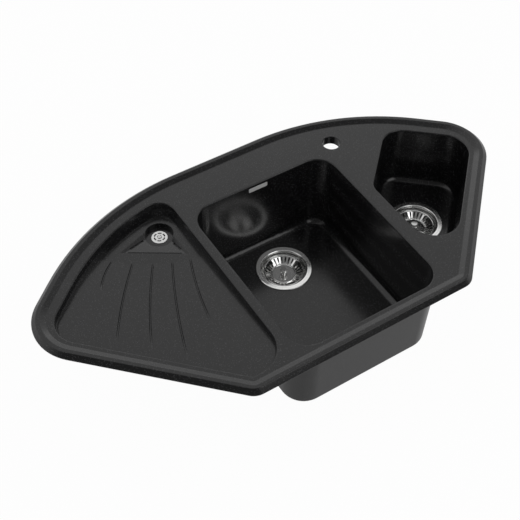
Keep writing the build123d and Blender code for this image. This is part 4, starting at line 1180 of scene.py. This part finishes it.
for number in range(1, CLIPS + 1):
    finished_copy(f"fixing_clip_{number}", f"clip_{number}", ZINC, edge=0.3)

hose_barbs("tray_spigot_barbs", TRAY_SPIGOT_FOOT, (0, -1, 0), 9.5, 3, 6.5, "sink")
hose_barbs("branch_barbs", BRANCH_FOOT, (0, 1, 0), 11.0, 2, 5.5, "sink")


# ---------------------------------------------------------------------------
# Floor
# ---------------------------------------------------------------------------
FLOOR_HALF = 6.0
FLOOR_GAP = 0.0002
FLOOR_TONE = 0.62
FLOOR_WHITE = 0.97
FLOOR_SHINE = 0.25


def pale_floor():
    """A plain floor, near white to the camera, that keeps a faint shadow."""
    level = cad_box[0].z - FLOOR_GAP
    mesh = bpy.data.meshes.new("floor_shape")
    corners = [
        (middle.x + side * FLOOR_HALF, middle.y + depth * FLOOR_HALF, level)
        for side, depth in ((-1, -1), (1, -1), (1, 1), (-1, 1))
    ]
    mesh.from_pydata(corners, [], [(0, 1, 2, 3)])
    floor = bpy.data.objects.new("floor", mesh)
    scene.collection.objects.link(floor)
    material = bpy.data.materials.new("pale_floor")
    material.use_nodes = True
    tree = material.node_tree
    tree.nodes.clear()
    out = add_node(tree, "ShaderNodeOutputMaterial")
    tone = (FLOOR_TONE, FLOOR_TONE, FLOOR_TONE, 1)
    matt = add_node(tree, "ShaderNodeBsdfDiffuse", values={"Color": tone})
    white = add_node(tree, "ShaderNodeEmission", values={"Color": WHITE, "Strength": 1.0})
    path = add_node(tree, "ShaderNodeLightPath")
    seen = add_node(tree, "ShaderNodeMath", {"operation": "MAXIMUM"})
    shine = add_node(tree, "ShaderNodeMath", {"operation": "MULTIPLY"})
    shine.inputs[1].default_value = FLOOR_SHINE
    share = add_node(tree, "ShaderNodeMath", {"operation": "MULTIPLY"})
    share.inputs[1].default_value = FLOOR_WHITE
    mixed = add_node(tree, "ShaderNodeMixShader")
    tree.links.new(path.outputs["Is Camera Ray"], seen.inputs[0])
    tree.links.new(path.outputs["Is Glossy Ray"], shine.inputs[0])
    tree.links.new(shine.outputs[0], seen.inputs[1])
    tree.links.new(seen.outputs[0], share.inputs[0])
    tree.links.new(share.outputs[0], mixed.inputs["Fac"])
    tree.links.new(matt.outputs[0], mixed.inputs[1])
    tree.links.new(white.outputs[0], mixed.inputs[2])
    tree.links.new(mixed.outputs[0], out.inputs["Surface"])
    mesh.materials.append(material)


pale_floor()
